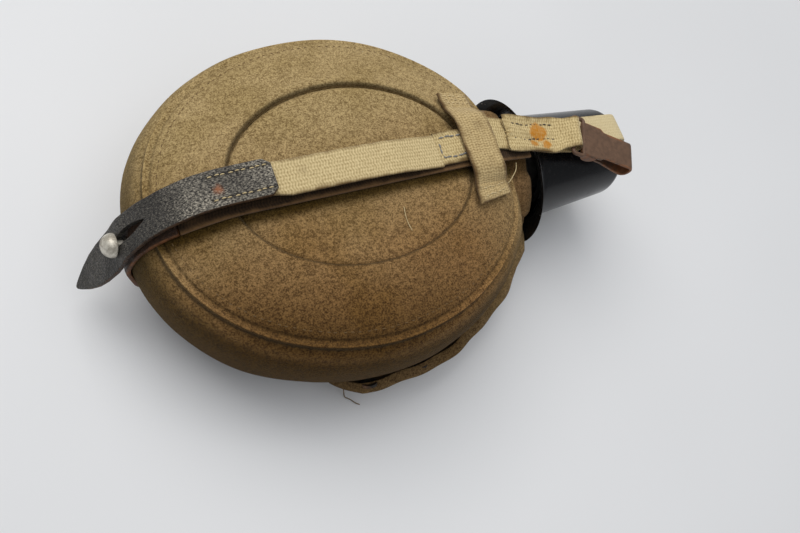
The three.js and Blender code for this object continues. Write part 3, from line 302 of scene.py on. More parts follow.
aluminium, tree, shader = material("dull_aluminium", {"Metallic": 1.0, "Specular IOR Level": 0.5})
coords = put(tree, "ShaderNodeTexCoord").outputs["Object"]
spin_marks = put(tree, "ShaderNodeMapping", {"Vector": coords, "Scale": (9.0, 1.0, 1.0)}).outputs[0]
tarnish = grain(tree, coords, 60.0, 4.0, 0.6)
streaks = grain(tree, spin_marks, 160.0, 3.0)
tint = between(tree, ranged(tree, tarnish, 0.35, 0.7), tone(196, 195, 190), tone(150, 148, 142))
tree.links.new(tint, shader.inputs["Base Color"])
tree.links.new(ranged(tree, streaks, 0.2, 0.8, 0.28, 0.5), shader.inputs["Roughness"])
bumped(tree, shader, streaks, 0.25, 0.0003)

round_angle = np.linspace(0, 2 * np.pi, 96, endpoint=False)
flask_skins = []
for depth, inner in ((FELT + CLEAR, False), (FELT + CLEAR + 1.5, True)):
    rings = np.concatenate([
        cover(np.linspace(0.04, 0.5, 4), depth, round_angle, False),
        cover(belly_share(np.linspace(0.5, WAIST, 16)), depth, round_angle, False),
        cover(dome_share(np.linspace(WAIST + 2, 70.6, 10)), depth, round_angle),
        cover(np.linspace(SEAM - 0.03, OVAL + 0.02, 10), depth, round_angle),
        panel(np.linspace(OVAL - 0.02, 0.04, 8), depth, round_angle)])
    flask_skins.append(shell(rings, inside=inner))
thread_x = np.concatenate([np.linspace(88, 116, 8), np.arange(116.2, 128, 0.22), [128.3, 128.8, NECK_END]])
thread_turn = (thread_x[:, None] - 117) / 4 - np.linspace(0, 1, 72, endpoint=False)
thread_off = 4 * np.abs(thread_turn - np.round(thread_turn))
thread_on = np.clip(thread_turn * 6 + 0.5, 0, 1) * np.clip((2 - thread_turn) * 6 + 0.5, 0, 1)
neck_r = NECK_R + 1.5 * thread_on * np.clip(1.4 - thread_off / 0.62, 0, 1)
neck_r[-3:] = np.array([NECK_R, NECK_R - 0.3, NECK_R - 1.0])[:, None]
neck_rings = np.concatenate([
    turned(thread_x, neck_r, 72),
    turned([NECK_END, 128.6, 120, 88], [13.9, 13.0, 13.0, 13.0], 72)])
flask_skins.append(shell(neck_rings, looped=True))
piece("flask", flask_skins, aluminium, "bottle", ["flask_shell"])

# Seal: a flat rubber disc that lies loose in the cap and closes the mouth of the neck.
seal_rubber, tree, shader = material("red_rubber", {"Roughness": 0.8})
coords = put(tree, "ShaderNodeTexCoord").outputs["Object"]
bloom = grain(tree, coords, 180.0, 4.0, 0.65)
tree.links.new(between(tree, ranged(tree, bloom, 0.35, 0.7), tone(134, 62, 44), tone(160, 104, 84)),
               shader.inputs["Base Color"])
bumped(tree, shader, bloom, 0.3, 0.0003)
seal_rings = turned([129.3, 129.3, 129.5, 131.1, 131.3, 131.3], [3, 15.8, 16.1, 16.1, 15.8, 3], 72)
piece("seal", [shell(seal_rings)], seal_rubber, "seal", ["cap_seal"])

# Screw cap: moulded black plastic with grip flutes round its skirt and a shallow rim on top.
# It screws on the neck and is hidden by the cup.
cap_black, tree, shader = material("moulded_black", {"Specular IOR Level": 0.45})
coords = put(tree, "ShaderNodeTexCoord").outputs["Object"]
scuffs = grain(tree, coords, 140.0, 5.0, 0.7)
tree.links.new(between(tree, ranged(tree, scuffs, 0.5, 0.75), tone(30, 29, 28), tone(66, 62, 58)),
               shader.inputs["Base Color"])
tree.links.new(ranged(tree, scuffs, 0.3, 0.7, 0.38, 0.62), shader.inputs["Roughness"])
bumped(tree, shader, grain(tree, coords, 900.0), 0.15, 0.0002)
cap_x = np.array([131.6, 131.6, 131.0, 115.0, 114.6, 114.6, 115.0, 116.0, 118, 124, 130, 132.6, 134.0, 134.8,
                  135.0, 135.0, 134.3, 134.3])
cap_r = np.array([3, 17.8, 18.5, 18.5, 18.9, 21.4, 21.8, 22, 22, 22, 22, 22, 21.7, 21.0, 20.2, 17, 16.2, 3])
cap_flute = np.interp(np.arange(18), [6, 7, 8, 10, 11, 12], [0, 0.3, 1, 1, 0.4, 0])
cap_turn = np.linspace(0, 2 * np.pi, 252, endpoint=False)
cap_rings = turned(cap_x, cap_r[:, None] - 0.8 * cap_flute[:, None] * np.cos(18 * cap_turn) ** 4, 252)
piece("screw_cap_grip", [shell(cap_rings)], cap_black, "cap", ["screw_cap"])

# Felt cover: thick wool felt cut in four panels and sewn tight over the flask.
# The worn face has an oval panel set in a ring, and the ring ends in a pinched welt.
felt_group = bpy.data.node_groups.new("felt_nap", "ShaderNodeTree")
for name, kind, way in (("Light", "NodeSocketColor", "INPUT"), ("Dark", "NodeSocketColor", "INPUT"),
                        ("Color", "NodeSocketColor", "OUTPUT"), ("Height", "NodeSocketFloat", "OUTPUT")):
    felt_group.interface.new_socket(name, in_out=way, socket_type=kind)
tree = felt_group
entry, exit_node = put(tree, "NodeGroupInput"), put(tree, "NodeGroupOutput")
coords = put(tree, "ShaderNodeTexCoord").outputs["Object"]
fuzz = grain(tree, coords, 1300.0, 4.0, 0.8)
clump = grain(tree, coords, 480.0, 3.0, 0.6)
cloud = grain(tree, coords, 34.0, 3.0, 0.55)
lint_seed = put(tree, "ShaderNodeTexVoronoi", {"Vector": coords, "Scale": 300.0}, feature="DISTANCE_TO_EDGE")
lint = ranged(tree, lint_seed.outputs[0], 0.0, 0.07, 1.0, 0.0)
nap = sums(tree, "ADD", sums(tree, "MULTIPLY", fuzz, 0.74), sums(tree, "MULTIPLY", clump, 0.26))
worn = between(tree, ranged(tree, nap, 0.39, 0.61), entry.outputs["Dark"], entry.outputs["Light"])
pale = put(tree, "ShaderNodeHueSaturation", {"Saturation": 0.92, "Value": 1.22, "Color": worn}).outputs[0]
linted = between(tree, sums(tree, "MULTIPLY", lint, ranged(tree, fuzz, 0.5, 0.7, 0.0, 0.4)), worn, pale)
deep = put(tree, "ShaderNodeHueSaturation", {"Saturation": 1.05, "Value": 0.84, "Color": linted}).outputs[0]
tree.links.new(between(tree, ranged(tree, cloud, 0.42, 0.68), linted, deep), exit_node.inputs["Color"])
tree.links.new(sums(tree, "ADD", nap, sums(tree, "MULTIPLY", lint, 0.12)), exit_node.inputs["Height"])


def felt(name, light, dark, light_near_brown_shaded, dark_near_brown_shaded, shade_and_grime_value):
    """Wool felt with a fuzzy nap in colour and bump. It is darker and browner towards the near side, painted shade with
    some of the felt's own browner tone; darkened low on the wall, as painted shade with some grime, on the near slope,
    and along the strap, as a painted shadow; paler on ridges, as wear and a painted highlight; and darker in creases,
    as painted shade.
    """
    made, tree, shader = material(name, {"Roughness": 0.96, "Specular IOR Level": 0.12, "Sheen Weight": 0.22,
                                         "Sheen Roughness": 0.45, "Sheen Tint": tone(214, 190, 150)})
    coords = put(tree, "ShaderNodeTexCoord").outputs["Object"]
    axes = put(tree, "ShaderNodeSeparateXYZ", {0: coords})
    # Towards the near side the felt is darker and browner: painted shade, with some of the felt's own browner tone.
    # Less so towards the neck end.
    drift = sums(tree, "MULTIPLY", grain(tree, coords, 22.0), 0.05)
    near = ranged(tree, sums(tree, "ADD", axes.outputs["Y"], drift), 0.075, -0.035)
    near = sums(tree, "MULTIPLY", near, ranged(tree, axes.outputs["X"], 0.015, 0.065, 1.0, 0.55))
    # Darker lower on the wall and most on the near side: painted shade where the wall turns down towards the table,
    # with some grime.
    low = sums(tree, "MULTIPLY", ranged(tree, axes.outputs["Z"], 0.0722, 0.06),
               ranged(tree, axes.outputs["Y"], 0.075, 0.0, 0.3, 1.0))
    low = sums(tree, "MULTIPLY", low, ranged(tree, axes.outputs["X"], 0.02, 0.065, 1.0, 0.65))
    slope = sums(tree, "MULTIPLY", ranged(tree, axes.outputs["Z"], 0.087, 0.071, 0.0, 0.7),
                 ranged(tree, axes.outputs["Y"], 0.0, -0.05))
    middle = sums(tree, "ABSOLUTE", sums(tree, "ADD", axes.outputs["X"], 0.045))
    slope = sums(tree, "MULTIPLY", slope, ranged(tree, middle, 0.025, 0.075, 1.0, 0.25))
    # Painted shadow along the strap's near edge, with some grime.
    strap_shadow = sums(tree, "MULTIPLY", ranged(tree, axes.outputs["Y"], -0.0125, -0.007, 0.0, 1.0),
                    ranged(tree, axes.outputs["Y"], 0.0, 0.006, 1.0, 0.0))
    strap_shadow = sums(tree, "MULTIPLY", strap_shadow, ranged(tree, axes.outputs["Z"], 0.06, 0.075))
    nap = put(tree, "ShaderNodeGroup", node_tree=felt_group)
    tree.links.new(between(tree, near, light, light_near_brown_shaded), nap.inputs["Light"])
    tree.links.new(between(tree, near, dark, dark_near_brown_shaded), nap.inputs["Dark"])
    # Painted shade and grime: the nap colour with its value lowered by the last argument where the masks above call for
    # it.
    shade_and_grime = put(tree, "ShaderNodeHueSaturation", {"Saturation": 1.3 - 0.4 * shade_and_grime_value, "Value": shade_and_grime_value, "Color": nap.outputs["Color"]}).outputs[0]
    tint = between(tree, sums(tree, "MAXIMUM", strap_shadow, sums(tree, "MAXIMUM", low, slope)), nap.outputs["Color"], shade_and_grime)
    # Positive edge marks pale the felt, as wear and a painted highlight on ridges; negative marks darken it, as painted
    # shade in creases.
    edge = put(tree, "ShaderNodeAttribute", attribute_name="edge").outputs["Fac"]
    rubbed_and_highlit = put(tree, "ShaderNodeHueSaturation", {"Value": 1.18, "Color": tint}).outputs[0]
    crease_shade = put(tree, "ShaderNodeHueSaturation", {"Value": 0.4, "Color": tint}).outputs[0]
    tint = between(tree, ranged(tree, edge, 0.1, 0.9), tint, rubbed_and_highlit)
    tint = between(tree, ranged(tree, edge, -0.1, -0.9), tint, crease_shade)
    tree.links.new(tint, shader.inputs["Base Color"])
    bumped(tree, shader, nap.outputs["Height"], 0.75, 0.0011)
    return made


def swell(points):
    """Slow unevenness of the stuffed felt, in millimetres: a sum of sines of the place."""
    x, y, z = points[..., 0], points[..., 1], points[..., 2]
    return (0.11 * np.sin(x / 11 + 1.3 * np.sin(y / 17)) + 0.10 * np.sin(y / 9 + 0.7 * np.sin(x / 15) + z / 13)
            + 0.07 * np.sin((x + y) / 6.5 + np.sin(z / 8)))


def stuffed(points):
    """How far the felt stands out past the flask's plain form, in millimetres: most on the far side and over
    the opening's flap, and nothing by the harness."""
    beside_strap = np.clip((np.abs(points[..., 1] + 2) - 12) / 24, 0, 1)
    by_flap = np.clip(((0.6 * points[..., 0] - 0.8 * points[..., 1]) / 90 - 0.3) / 0.6, 0, 1)
    return (0.9 + 1.3 * np.clip(points[..., 1] / HALF_WIDTH, 0, 1) + 2.2 * by_flap ** 2) * beside_strap


# The third and fourth colours are for the near side: darker as painted shade, browner as the felt's own tone. The last
# number sets the painted shade and grime.
cover_felt = felt("cover_felt", tone(206, 180, 129), tone(130, 107, 69), tone(169, 129, 81), tone(84, 58, 33), 0.21)
felt_angle = np.linspace(0, 2 * np.pi, 640, endpoint=False)
far_side = 0.5 + 0.5 * np.sin(felt_angle - 0.5)
panel_share = OVAL - CLEAR / HALF_LENGTH - np.array([0.0, 0.2, 0.6, 1.2, 2.0, 3.0, 4.5, 7, 10]) / HALF_LENGTH
panel_share = np.concatenate([panel_share, np.linspace(panel_share[-1] - 0.03, 0.02, 22)])
panel_edge = np.array([2.7, 2.2, 1.6, 1.05, 0.6, 0.32, 0.1, 0.03] + [0] * 23)[:, None] * (0.4 + 0.6 * far_side)
panel_lift = 0.9 * (1 - far_side) * np.clip(1 - (OVAL - panel_share[:, None]) * HALF_LENGTH / 14, 0, 1)
panel_top = panel(panel_share, panel_edge - panel_lift, felt_angle)
panel_top[..., 2] += swell(panel_top)
panel_under = panel(panel_share[::-1], FELT, felt_angle)
piece("felt_oval_panel", [shell(np.concatenate([panel_under, panel_top]))], cover_felt, "bottle",
      ["cover_front_centre"])

ring_in = np.array([0, 0.15, 0.4, 0.8, 1.3, 2.0, 3.0, 4.5, 6.5]) / HALF_LENGTH + OVAL
seam_gap = np.array([9.0, 6.5, 5.0, 4.0, 3.4, 2.9, 2.4, 2.0, 1.65, 1.35, 1.1, 0.88, 0.7, 0.54, 0.4, 0.27, 0.15, 0.1])
ring_share = np.concatenate([ring_in, np.linspace(ring_in[-1] + 0.012, SEAM - 0.06, 26), dome_share(70.6 + seam_gap)])
ring_gap = (dome(ring_share) - 70.6)[:, None]
pinch = 0.35 + 0.65 * (0.5 + 0.5 * np.cos(felt_angle - np.radians(232)))
sewn = 0.5 + 0.5 * np.cos(felt_angle * 150)
ridge = 2.2 * pinch * np.exp(-((ring_gap - 0.35) / 0.5) ** 2) - 0.6 * pinch * np.exp(-((ring_gap - 1.6) / 0.6) ** 2)
ridge = ridge - 0.4 * np.exp(-((ring_gap - 3.4) / 0.7) ** 2) * (0.4 + 0.6 * sewn)
lip_off = ((ring_share - OVAL) * HALF_LENGTH)[:, None]
ring_lip = 0.9 * far_side * np.exp(-((lip_off - 3.0) / 2.5) ** 2)
rolled = 1.7 - np.sqrt(np.maximum(0, 1.7 ** 2 - np.maximum(0, 1.7 - (ring_share - OVAL) * HALF_LENGTH) ** 2))
ring_out = cover(ring_share, 0, felt_angle)
ring_swell = stuffed(ring_out) * np.clip((ring_share[:, None] - 0.72) / 0.16, 0, 1)
ring_out = cover(ring_share, 0.85 * rolled[:, None] - ridge - ring_lip - swell(ring_out) - ring_swell, felt_angle)
ring_back = cover(ring_share[::-1], FELT, felt_angle)
ring_back[-2:, :, :2] = ring_out[:1, :, :2]
ring_back[-2:, :, 2] = RIM_Z - FELT + 0.2
# Edge marks: paler on the welt's ridge, wear and a painted highlight; darker in the crease under it and along the seam
# with the oval panel, painted shade.
ring_mark = pinch * (np.exp(-((ring_gap - 0.35) / 0.45) ** 2) - 0.75 * np.exp(-((ring_gap - 1.5) / 0.5) ** 2))
ring_mark = ring_mark - 0.95 * np.exp(-(lip_off / 1.0) ** 2)
ring_mark = np.concatenate([ring_mark, np.zeros_like(ring_mark)])
piece("felt_ring", [shell(np.concatenate([ring_out, ring_back]), True, None, ring_mark)], cover_felt, "bottle",
      ["cover_front_ring"])

seam_thread, tree, shader = material("seam_thread", {"Roughness": 0.9})
coords = put(tree, "ShaderNodeTexCoord").outputs["Object"]
tree.links.new(between(tree, grain(tree, coords, 900.0), tone(92, 70, 44), tone(128, 104, 68)), shader.inputs["Base Color"])


def sewing(line, up, step, share, thick):
    """Row of stitches along a line: in every step a thread lies over the face for a share of it, as a low arch
    whose height is the sine of its length and whose ends sink in. Sines of its number set it off a little."""
    line = np.asarray(line, float)
    up = np.broadcast_to(np.asarray(up, float), line.shape)
    run = np.concatenate([[0], np.cumsum(np.linalg.norm(np.diff(line, axis=0), axis=1))])
    rise = np.linspace(0, 1, 7)
    at = np.arange(0.3 * step, run[-1] - share * step, step)[:, None]
    number = np.arange(len(at))[:, None]
    at = at + 0.13 * step * np.sin(2.3 * number) + share * step * rise
    spots = np.stack([np.interp(at, run, line[:, k]) for k in range(3)], -1)
    ups = np.stack([np.interp(at, run, up[:, k]) for k in range(3)], -1)
    way = spots[:, -1:] - spots[:, :1]
    way = way / np.linalg.norm(way, axis=2, keepdims=True)
    side = np.cross(ups, way)[:, :, None]
    turn = np.linspace(0, 2 * np.pi, 6, endpoint=False)[:, None]
    size = (thick / 2 * (0.5 + 0.5 * np.sin(np.pi * rise)))[:, None, None]
    middle = spots + ups * (thick * (0.6 * np.sin(np.pi * rise) - 0.3))[:, None]
    middle = middle + 0.3 * thick * np.sin(1.9 * number)[..., None] * side[:, :, 0]
    return shell(middle[:, :, None] + size * (np.cos(turn) * side + np.sin(turn) * ups[:, :, None]))


seam_line = ring_out[-14]
seam_up = seam_line - cover(dome_share([74.0]), 2.0, felt_angle)[0]
seam_up /= np.linalg.norm(seam_up, axis=1, keepdims=True)
piece("seam_stitches", [sewing(seam_line, seam_up, 3.6, 0.5, 0.42)], seam_thread, "bottle")

wall_z = np.concatenate([np.linspace(8.15, 44, 30), np.linspace(46, 66, 16), 70.6 - seam_gap[4:]])
wall_low = wall_z <= WAIST
wall_gap = 70.6 - wall_z[:, None]
wall_ridge = (1.7 * pinch * np.exp(-(wall_gap / 0.55) ** 2)
              - np.exp(-((wall_gap - 2.4) / 1.3) ** 2) * (0.8 * pinch + 0.3 * sewn))
wall_slump = 0.5 * np.sin(felt_angle * 9 + wall_z[:, None] / 9) * np.exp(-((wall_z[:, None] - 24) / 13) ** 2)


def wall(depth):
    """Rings of the wall from the back seam up: belly below the waist and dome above it."""
    depth = np.broadcast_to(depth, (len(wall_z), len(felt_angle)))
    return np.concatenate([cover(belly_share(wall_z[wall_low]), depth[wall_low], felt_angle, False),
                           cover(dome_share(wall_z[~wall_low]), depth[~wall_low], felt_angle)])


wall_plain = wall(0.0)
wall_swell = stuffed(wall_plain) * np.clip((wall_z[:, None] - 18) / 24, 0, 1)
# Edge marks: darker in the crease under the welt and in a band behind the top of the flap's lip, both painted shade.
wall_mark = -pinch * np.exp(-((wall_gap - 1.5) / 0.9) ** 2)
near_angle = np.degrees(felt_angle) - 360
behind_flap = np.interp(near_angle, [-104, -33, -27, -20, -14], [26, 37, 40, 42, 44])
flap_reach = np.clip((near_angle + 100) / 12, 0, 1) * np.clip((-12 - near_angle) / 4, 0, 1)
wall_mark = wall_mark - 0.9 * flap_reach * np.exp(-((wall_z[:, None] - behind_flap) / 3.0) ** 2)
wall_mark = np.concatenate([wall_mark, np.zeros_like(wall_mark)])
wall_out = wall(-wall_ridge - swell(wall_plain) - wall_slump - wall_swell)
felt_wall = piece("felt_wall", [shell(np.concatenate([wall_out, wall(FELT)[::-1]]), True, None, wall_mark)], cover_felt,
                  "bottle", ["cover_side_wall"])
neck_hole = piece("neck_hole", [shell(turned([60, 130], [NECK_R + 0.3, NECK_R + 0.3], 72))], cover_felt, "bottle")
drill = felt_wall.modifiers.new("neck_hole", "BOOLEAN")
drill.object = neck_hole
drill.solver = "EXACT"
bpy.context.view_layer.update()
drilled = bpy.data.meshes.new_from_object(felt_wall.evaluated_get(bpy.context.evaluated_depsgraph_get()))
felt_wall.modifiers.remove(drill)
felt_wall.data = drilled
bpy.data.objects.remove(neck_hole)

back_share = np.concatenate([np.linspace(0.02, float(belly_share(0.0)), 26),
                             belly_share(np.array([0.15, 0.5, 1.0, 1.7, 2.6, 3.6, 4.8, 6.0, 7.0, 7.6, 7.85]))])
back_out = cover(back_share, 0, felt_angle, False)
channel = np.clip(1 - (np.abs(back_out[..., 1] + 2) - 8.6) / 3.0, 0, 1)
channel = channel * channel * (3 - 2 * channel)
back_out[..., 2] = np.maximum(back_out[..., 2], 2.5 * channel)
back_in = cover(back_share, FELT, felt_angle, False)
piece("felt_back", [shell(np.concatenate([back_out, back_in[::-1]]))], cover_felt, "bottle", ["cover_back"])

# Flap: the lip of the cover's opening, where the flask goes in, on the near side by the neck.
# It is the same felt, sewn along its foot, and its free edge has stretched into waves.
flap_angle = np.radians(np.linspace(-104, -33, 130))
flap_rise = np.linspace(0, 1, 18)
flap_along = np.linspace(0, 1, 130)
flap_wave = 1.2 * np.sin(flap_along * 15 + 0.6) + 0.7 * np.sin(flap_along * 37 + 1)
flap_end = np.minimum(1, flap_along * 9)[:, None]
flap_z = 12 + (16 + 9 * flap_along[:, None] + 0.5 * flap_wave[:, None]) * flap_rise * (0.35 + 0.65 * flap_end)
flap_flare = (7 + 6 * flap_along)[:, None] * (0.25 + 0.75 * flap_end)
flap_curl = 1 - 0.55 * np.clip(flap_rise * 3.3 - 2.3, 0, 1) ** 1.4
flap_thick = 2.6 + 1.5 * np.exp(-((flap_rise - 0.9) / 0.12) ** 2) - 2.2 * np.clip(flap_rise * 12 - 11, 0, 1)


def beside(angle, height, out):
    """Points beside the body at an angle and a height, out along the outline's normal in plan."""
    share = np.where(height > WAIST, dome_share(height), belly_share(height))
    half_x, half_y = HALF_LENGTH * share, HALF_WIDTH * share
    x, y = half_x * np.cos(angle), half_y * np.sin(angle)
    way_x, way_y = x / half_x ** 2, y / half_y ** 2
    size = np.hypot(way_x, way_y)
    return np.stack([x + way_x / size * out, y + way_y / size * out, height], -1)


def follow(points, step, rounding):
    """Path through points: even steps along the straight runs, then each inner point takes the weighted mean
    of itself and its neighbours a number of times, which rounds the corners and keeps the ends."""
    points = np.asarray(points, float)
    length = np.concatenate([[0], np.cumsum(np.linalg.norm(np.diff(points, axis=0), axis=1))])
    at = np.linspace(0, length[-1], int(length[-1] / step) + 2)
    path = np.stack([np.interp(at, length, points[:, k]) for k in range(points.shape[1])], 1)
    for _ in range(rounding):
        path[1:-1] = (path[:-2] + 2 * path[1:-1] + path[2:]) / 4
    return path


def rod(path, radius, closed=False, sides=14):
    """Round wire along a path: circles in the plane of two normals of its way."""
    path = np.asarray(path, float)
    way = np.roll(path, -1, 0) - np.roll(path, 1, 0) if closed else np.gradient(path, axis=0)
    way /= np.linalg.norm(way, axis=1, keepdims=True)
    guide = np.where(np.abs(way[:, 2:]) < 0.9, [[0.0, 0, 1]], [[1.0, 0, 0]])
    side = np.cross(way, guide)
    side /= np.linalg.norm(side, axis=1, keepdims=True)
    up = np.cross(side, way)
    turn = np.linspace(0, 2 * np.pi, sides, endpoint=False)[:, None]
    radius = np.broadcast_to(radius, len(path))[:, None, None]
    rings = path[:, None] + radius * (np.cos(turn) * side[:, None] + np.sin(turn) * up[:, None])
    return shell(rings, looped=closed)


flap_out = 0.8 + flap_flare * flap_rise * flap_curl + 0.35 * flap_wave[:, None] * flap_rise
flap_inner = beside(flap_angle[:, None], flap_z, flap_out)
flap_outer = beside(flap_angle[:, None], flap_z, flap_out + flap_thick)
flap_rings = np.concatenate([flap_inner, flap_outer[:, ::-1]], 1)
# Near-side colours darker as painted shade and browner as the felt's tone; the last number sets the painted shade and
# grime.
flap_felt = felt("flap_felt", tone(172, 146, 104), tone(110, 90, 60), tone(146, 118, 80), tone(84, 64, 41), 0.72)
# Edge marks: the flap's top edge is paler, wear and a painted highlight; its inner face darkens in a band below,
# painted shade.
flap_top_worn_and_lit = np.clip(flap_rise * 5 - 4, 0, 1)
flap_shade = flap_top_worn_and_lit - np.exp(-((flap_rise - 0.66) / 0.2) ** 2)
flap_mark = np.broadcast_to(np.concatenate([flap_shade, flap_top_worn_and_lit[::-1]]), flap_rings.shape[:2])
piece("felt_flap", [shell(flap_rings, edge=flap_mark)], flap_felt, ("bottle", "flap", (24.6, -53.7, 12), (24.6, -53.7, 20)),
      ["cover_flap"])

lip_angle = np.linspace(-33, -14, 60)
lip_flare = np.interp(lip_angle, [-33, -27, -22, -17, -14], [13, 15.5, 13, 7, 3])[:, None]
lip_top = np.interp(lip_angle, [-33, -27, -20, -14], [37, 40, 42, 44])[:, None]
lip_z = 12 + (lip_top - 12) * flap_rise
lip_out = 0.8 + lip_flare * flap_rise * flap_curl
lip_turn = np.radians(lip_angle)[:, None]
lip_rings = np.concatenate([beside(lip_turn, lip_z, lip_out), beside(lip_turn, lip_z, lip_out + flap_thick)[:, ::-1]], 1)
piece("felt_lip", [shell(lip_rings, edge=flap_mark[:len(lip_rings)])], flap_felt, "bottle")
stray_thread = follow([[-13, -80.5, 9], [-13.4, -84.5, 5], [-13.0, -87, 1.6], [-10, -89, 0.7], [-8.6, -91.5, 1.4], [-6.2, -93, 0.6]],
                      0.4, 10)
piece("stray_thread", [rod(stray_thread, 0.28, sides=8)], seam_thread, "bottle")

# Collar: the cover's felt gathered round the neck in soft folds, filling the space under the cup's rim.
# Near-side colours darker as painted shade and browner as the felt's tone; the last number sets the painted shade and
# grime.
collar_felt = felt("collar_felt", tone(160, 128, 88), tone(100, 76, 48), tone(140, 106, 70), tone(84, 60, 38), 0.6)
collar_turn = np.linspace(0, 2 * np.pi, 320, endpoint=False)
collar_fold = np.sin(collar_turn * 7 + 0.6) + 0.6 * np.sin(collar_turn * 13 + 2.0) + 0.35 * np.sin(collar_turn * 23)
collar_x = np.array([81.3, 84, 87, 90, 93, 96, 98.5, 100.4, 101.4, 101.7, 101.4, 100.4, 98, 92, 86, 81.3])
collar_r = np.array([34.5, 35.6, 36.0, 36.3, 36.6, 36.4, 35.6, 34.4, 32.8, 31.0, 29.0, 27, 25, 24, 24, 24])
collar_soft = np.array([0, 0.2, 0.4, 0.6, 0.8, 0.9, 1, 1, 0.9, 0.7, 0.5, 0.3, 0.1, 0, 0, 0])
collar_radius = collar_r[:, None] - 0.55 - 0.5 * collar_soft[:, None] * collar_fold
collar_rings = turned(collar_x, collar_radius, 320, 37.2 / 41.2)
collar_rings[..., 0] -= 0.5 * collar_soft[:, None] * np.maximum(0, collar_fold)
strap_room = np.clip(1 - (np.abs(collar_rings[..., 1] - 1) - 8.2) / 2.5, 0, 1) * (collar_rings[..., 2] < 30)
collar_rings[..., 2] += (np.maximum(collar_rings[..., 2], 9.2) - collar_rings[..., 2]) * strap_room
piece("felt_collar", [shell(collar_rings, looped=True)], collar_felt, "bottle", ["cover_collar"])

# Press fasteners: four steel studs on the wall and four sockets on the flap, dull and dark with age.
wear_group = bpy.data.node_groups.new("worn_paint", "ShaderNodeTree")
for name, kind, way in (("Paint", "NodeSocketColor", "INPUT"), ("Bare", "NodeSocketColor", "INPUT"),
                        ("Wear", "NodeSocketFloat", "INPUT"), ("Color", "NodeSocketColor", "OUTPUT"),
                        ("Roughness", "NodeSocketFloat", "OUTPUT"), ("Height", "NodeSocketFloat", "OUTPUT")):
    wear_group.interface.new_socket(name, in_out=way, socket_type=kind)
tree = wear_group
entry, exit_node = put(tree, "NodeGroupInput"), put(tree, "NodeGroupOutput")
coords = put(tree, "ShaderNodeTexCoord").outputs["Object"]
edge = put(tree, "ShaderNodeAttribute", attribute_name="edge").outputs["Fac"]
pits = grain(tree, coords, 420.0, 5.0, 0.7)
patches = grain(tree, coords, 90.0, 4.0, 0.65)
bared = sums(tree, "ADD", sums(tree, "MULTIPLY", edge, 0.3), sums(tree, "ADD", patches, entry.outputs["Wear"]))
bare_mask = ranged(tree, bared, 0.62, 0.76)
dusty = put(tree, "ShaderNodeHueSaturation", {"Value": 0.72, "Color": entry.outputs["Paint"]}).outputs[0]
paint = between(tree, ranged(tree, pits, 0.35, 0.65), dusty, entry.outputs["Paint"])
tree.links.new(between(tree, bare_mask, paint, entry.outputs["Bare"]), exit_node.inputs["Color"])
tree.links.new(ranged(tree, pits, 0.25, 0.75, 0.36, 0.68), exit_node.inputs["Roughness"])
tree.links.new(sums(tree, "SUBTRACT", pits, sums(tree, "MULTIPLY", bare_mask, 0.4)), exit_node.inputs["Height"])


def worn_metal(name, paint, bare, wear, metallic):
    """Painted or blackened metal, worn through in patches and along its edges, with fine pits."""
    made, tree, shader = material(name, {"Metallic": metallic})
    finish = put(tree, "ShaderNodeGroup", {"Wear": wear}, node_tree=wear_group)
    finish.inputs["Paint"].default_value = paint
    finish.inputs["Bare"].default_value = bare
    tree.links.new(finish.outputs["Color"], shader.inputs["Base Color"])
    tree.links.new(finish.outputs["Roughness"], shader.inputs["Roughness"])
    bumped(tree, shader, finish.outputs["Height"], 0.35, 0.0003)
    return made


dark_steel = worn_metal("dark_steel", tone(62, 58, 54), tone(122, 92, 66), 0.06, 0.7)
for number in range(1, 5):
    for node in (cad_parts[f"snap_stud_{number}"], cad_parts[f"snap_socket_{number}"]):
        node.material_slots[0].material = dark_steel

# Cup: pressed aluminium under gloss black lacquer, oval, with a wide flared rim towards the bottle.
# It slips over the neck and is held there by the main strap.
cup_black, tree, shader = material("black_lacquer", {"Specular IOR Level": 0.16, "Coat Weight": 0.12, "Coat Roughness": 0.07})
coords = put(tree, "ShaderNodeTexCoord").outputs["Object"]
dust = grain(tree, coords, 320.0, 5.0, 0.7)
smear = grain(tree, coords, 26.0, 4.0, 0.6)
edge = put(tree, "ShaderNodeAttribute", attribute_name="edge").outputs["Fac"]
chip_seed = sums(tree, "ADD", sums(tree, "MULTIPLY", edge, 0.22), grain(tree, coords, 150.0, 4.0, 0.7))
chips = ranged(tree, chip_seed, 0.86, 0.9)
film = sums(tree, "MULTIPLY", ranged(tree, dust, 0.5, 0.8), ranged(tree, smear, 0.35, 0.7, 0.1, 0.6))
lacquer = between(tree, film, tone(17, 17, 19), tone(66, 64, 62))
tree.links.new(between(tree, chips, lacquer, tone(140, 136, 128)), shader.inputs["Base Color"])
tree.links.new(ranged(tree, smear, 0.3, 0.7, 0.16, 0.34), shader.inputs["Roughness"])
bumped(tree, shader, sums(tree, "ADD", sums(tree, "MULTIPLY", dust, 0.3), smear), 0.12, 0.0006)
RIM_X, CUP_DEPTH = 103.0, 67.0


def cup_rings(along, inset, bead=0.0):
    """Ovals of the cup: mouth size tapering to base size, plus a flare of (1 - along/9)^3, less an inset."""
    angle = np.linspace(0, 2 * np.pi, 160, endpoint=False)
    along, inset = np.asarray(along, float)[:, None], np.asarray(inset, float)[:, None]
    taper = np.clip((along - 9) / 53, 0, 1)
    flare = np.clip(1 - along / 9, 0, 1) ** 3
    half_y = 28.5 + (24.6 - 28.5) * taper + (41.2 - 28.5) * flare - inset
    half_z = 32.0 + (27.0 - 32.0) * taper + (37.2 - 32.0) * flare - inset
    points = np.broadcast_arrays(RIM_X + along + bead, half_y * np.cos(angle), NECK_Z + half_z * np.sin(angle))
    return np.stack(points, -1)


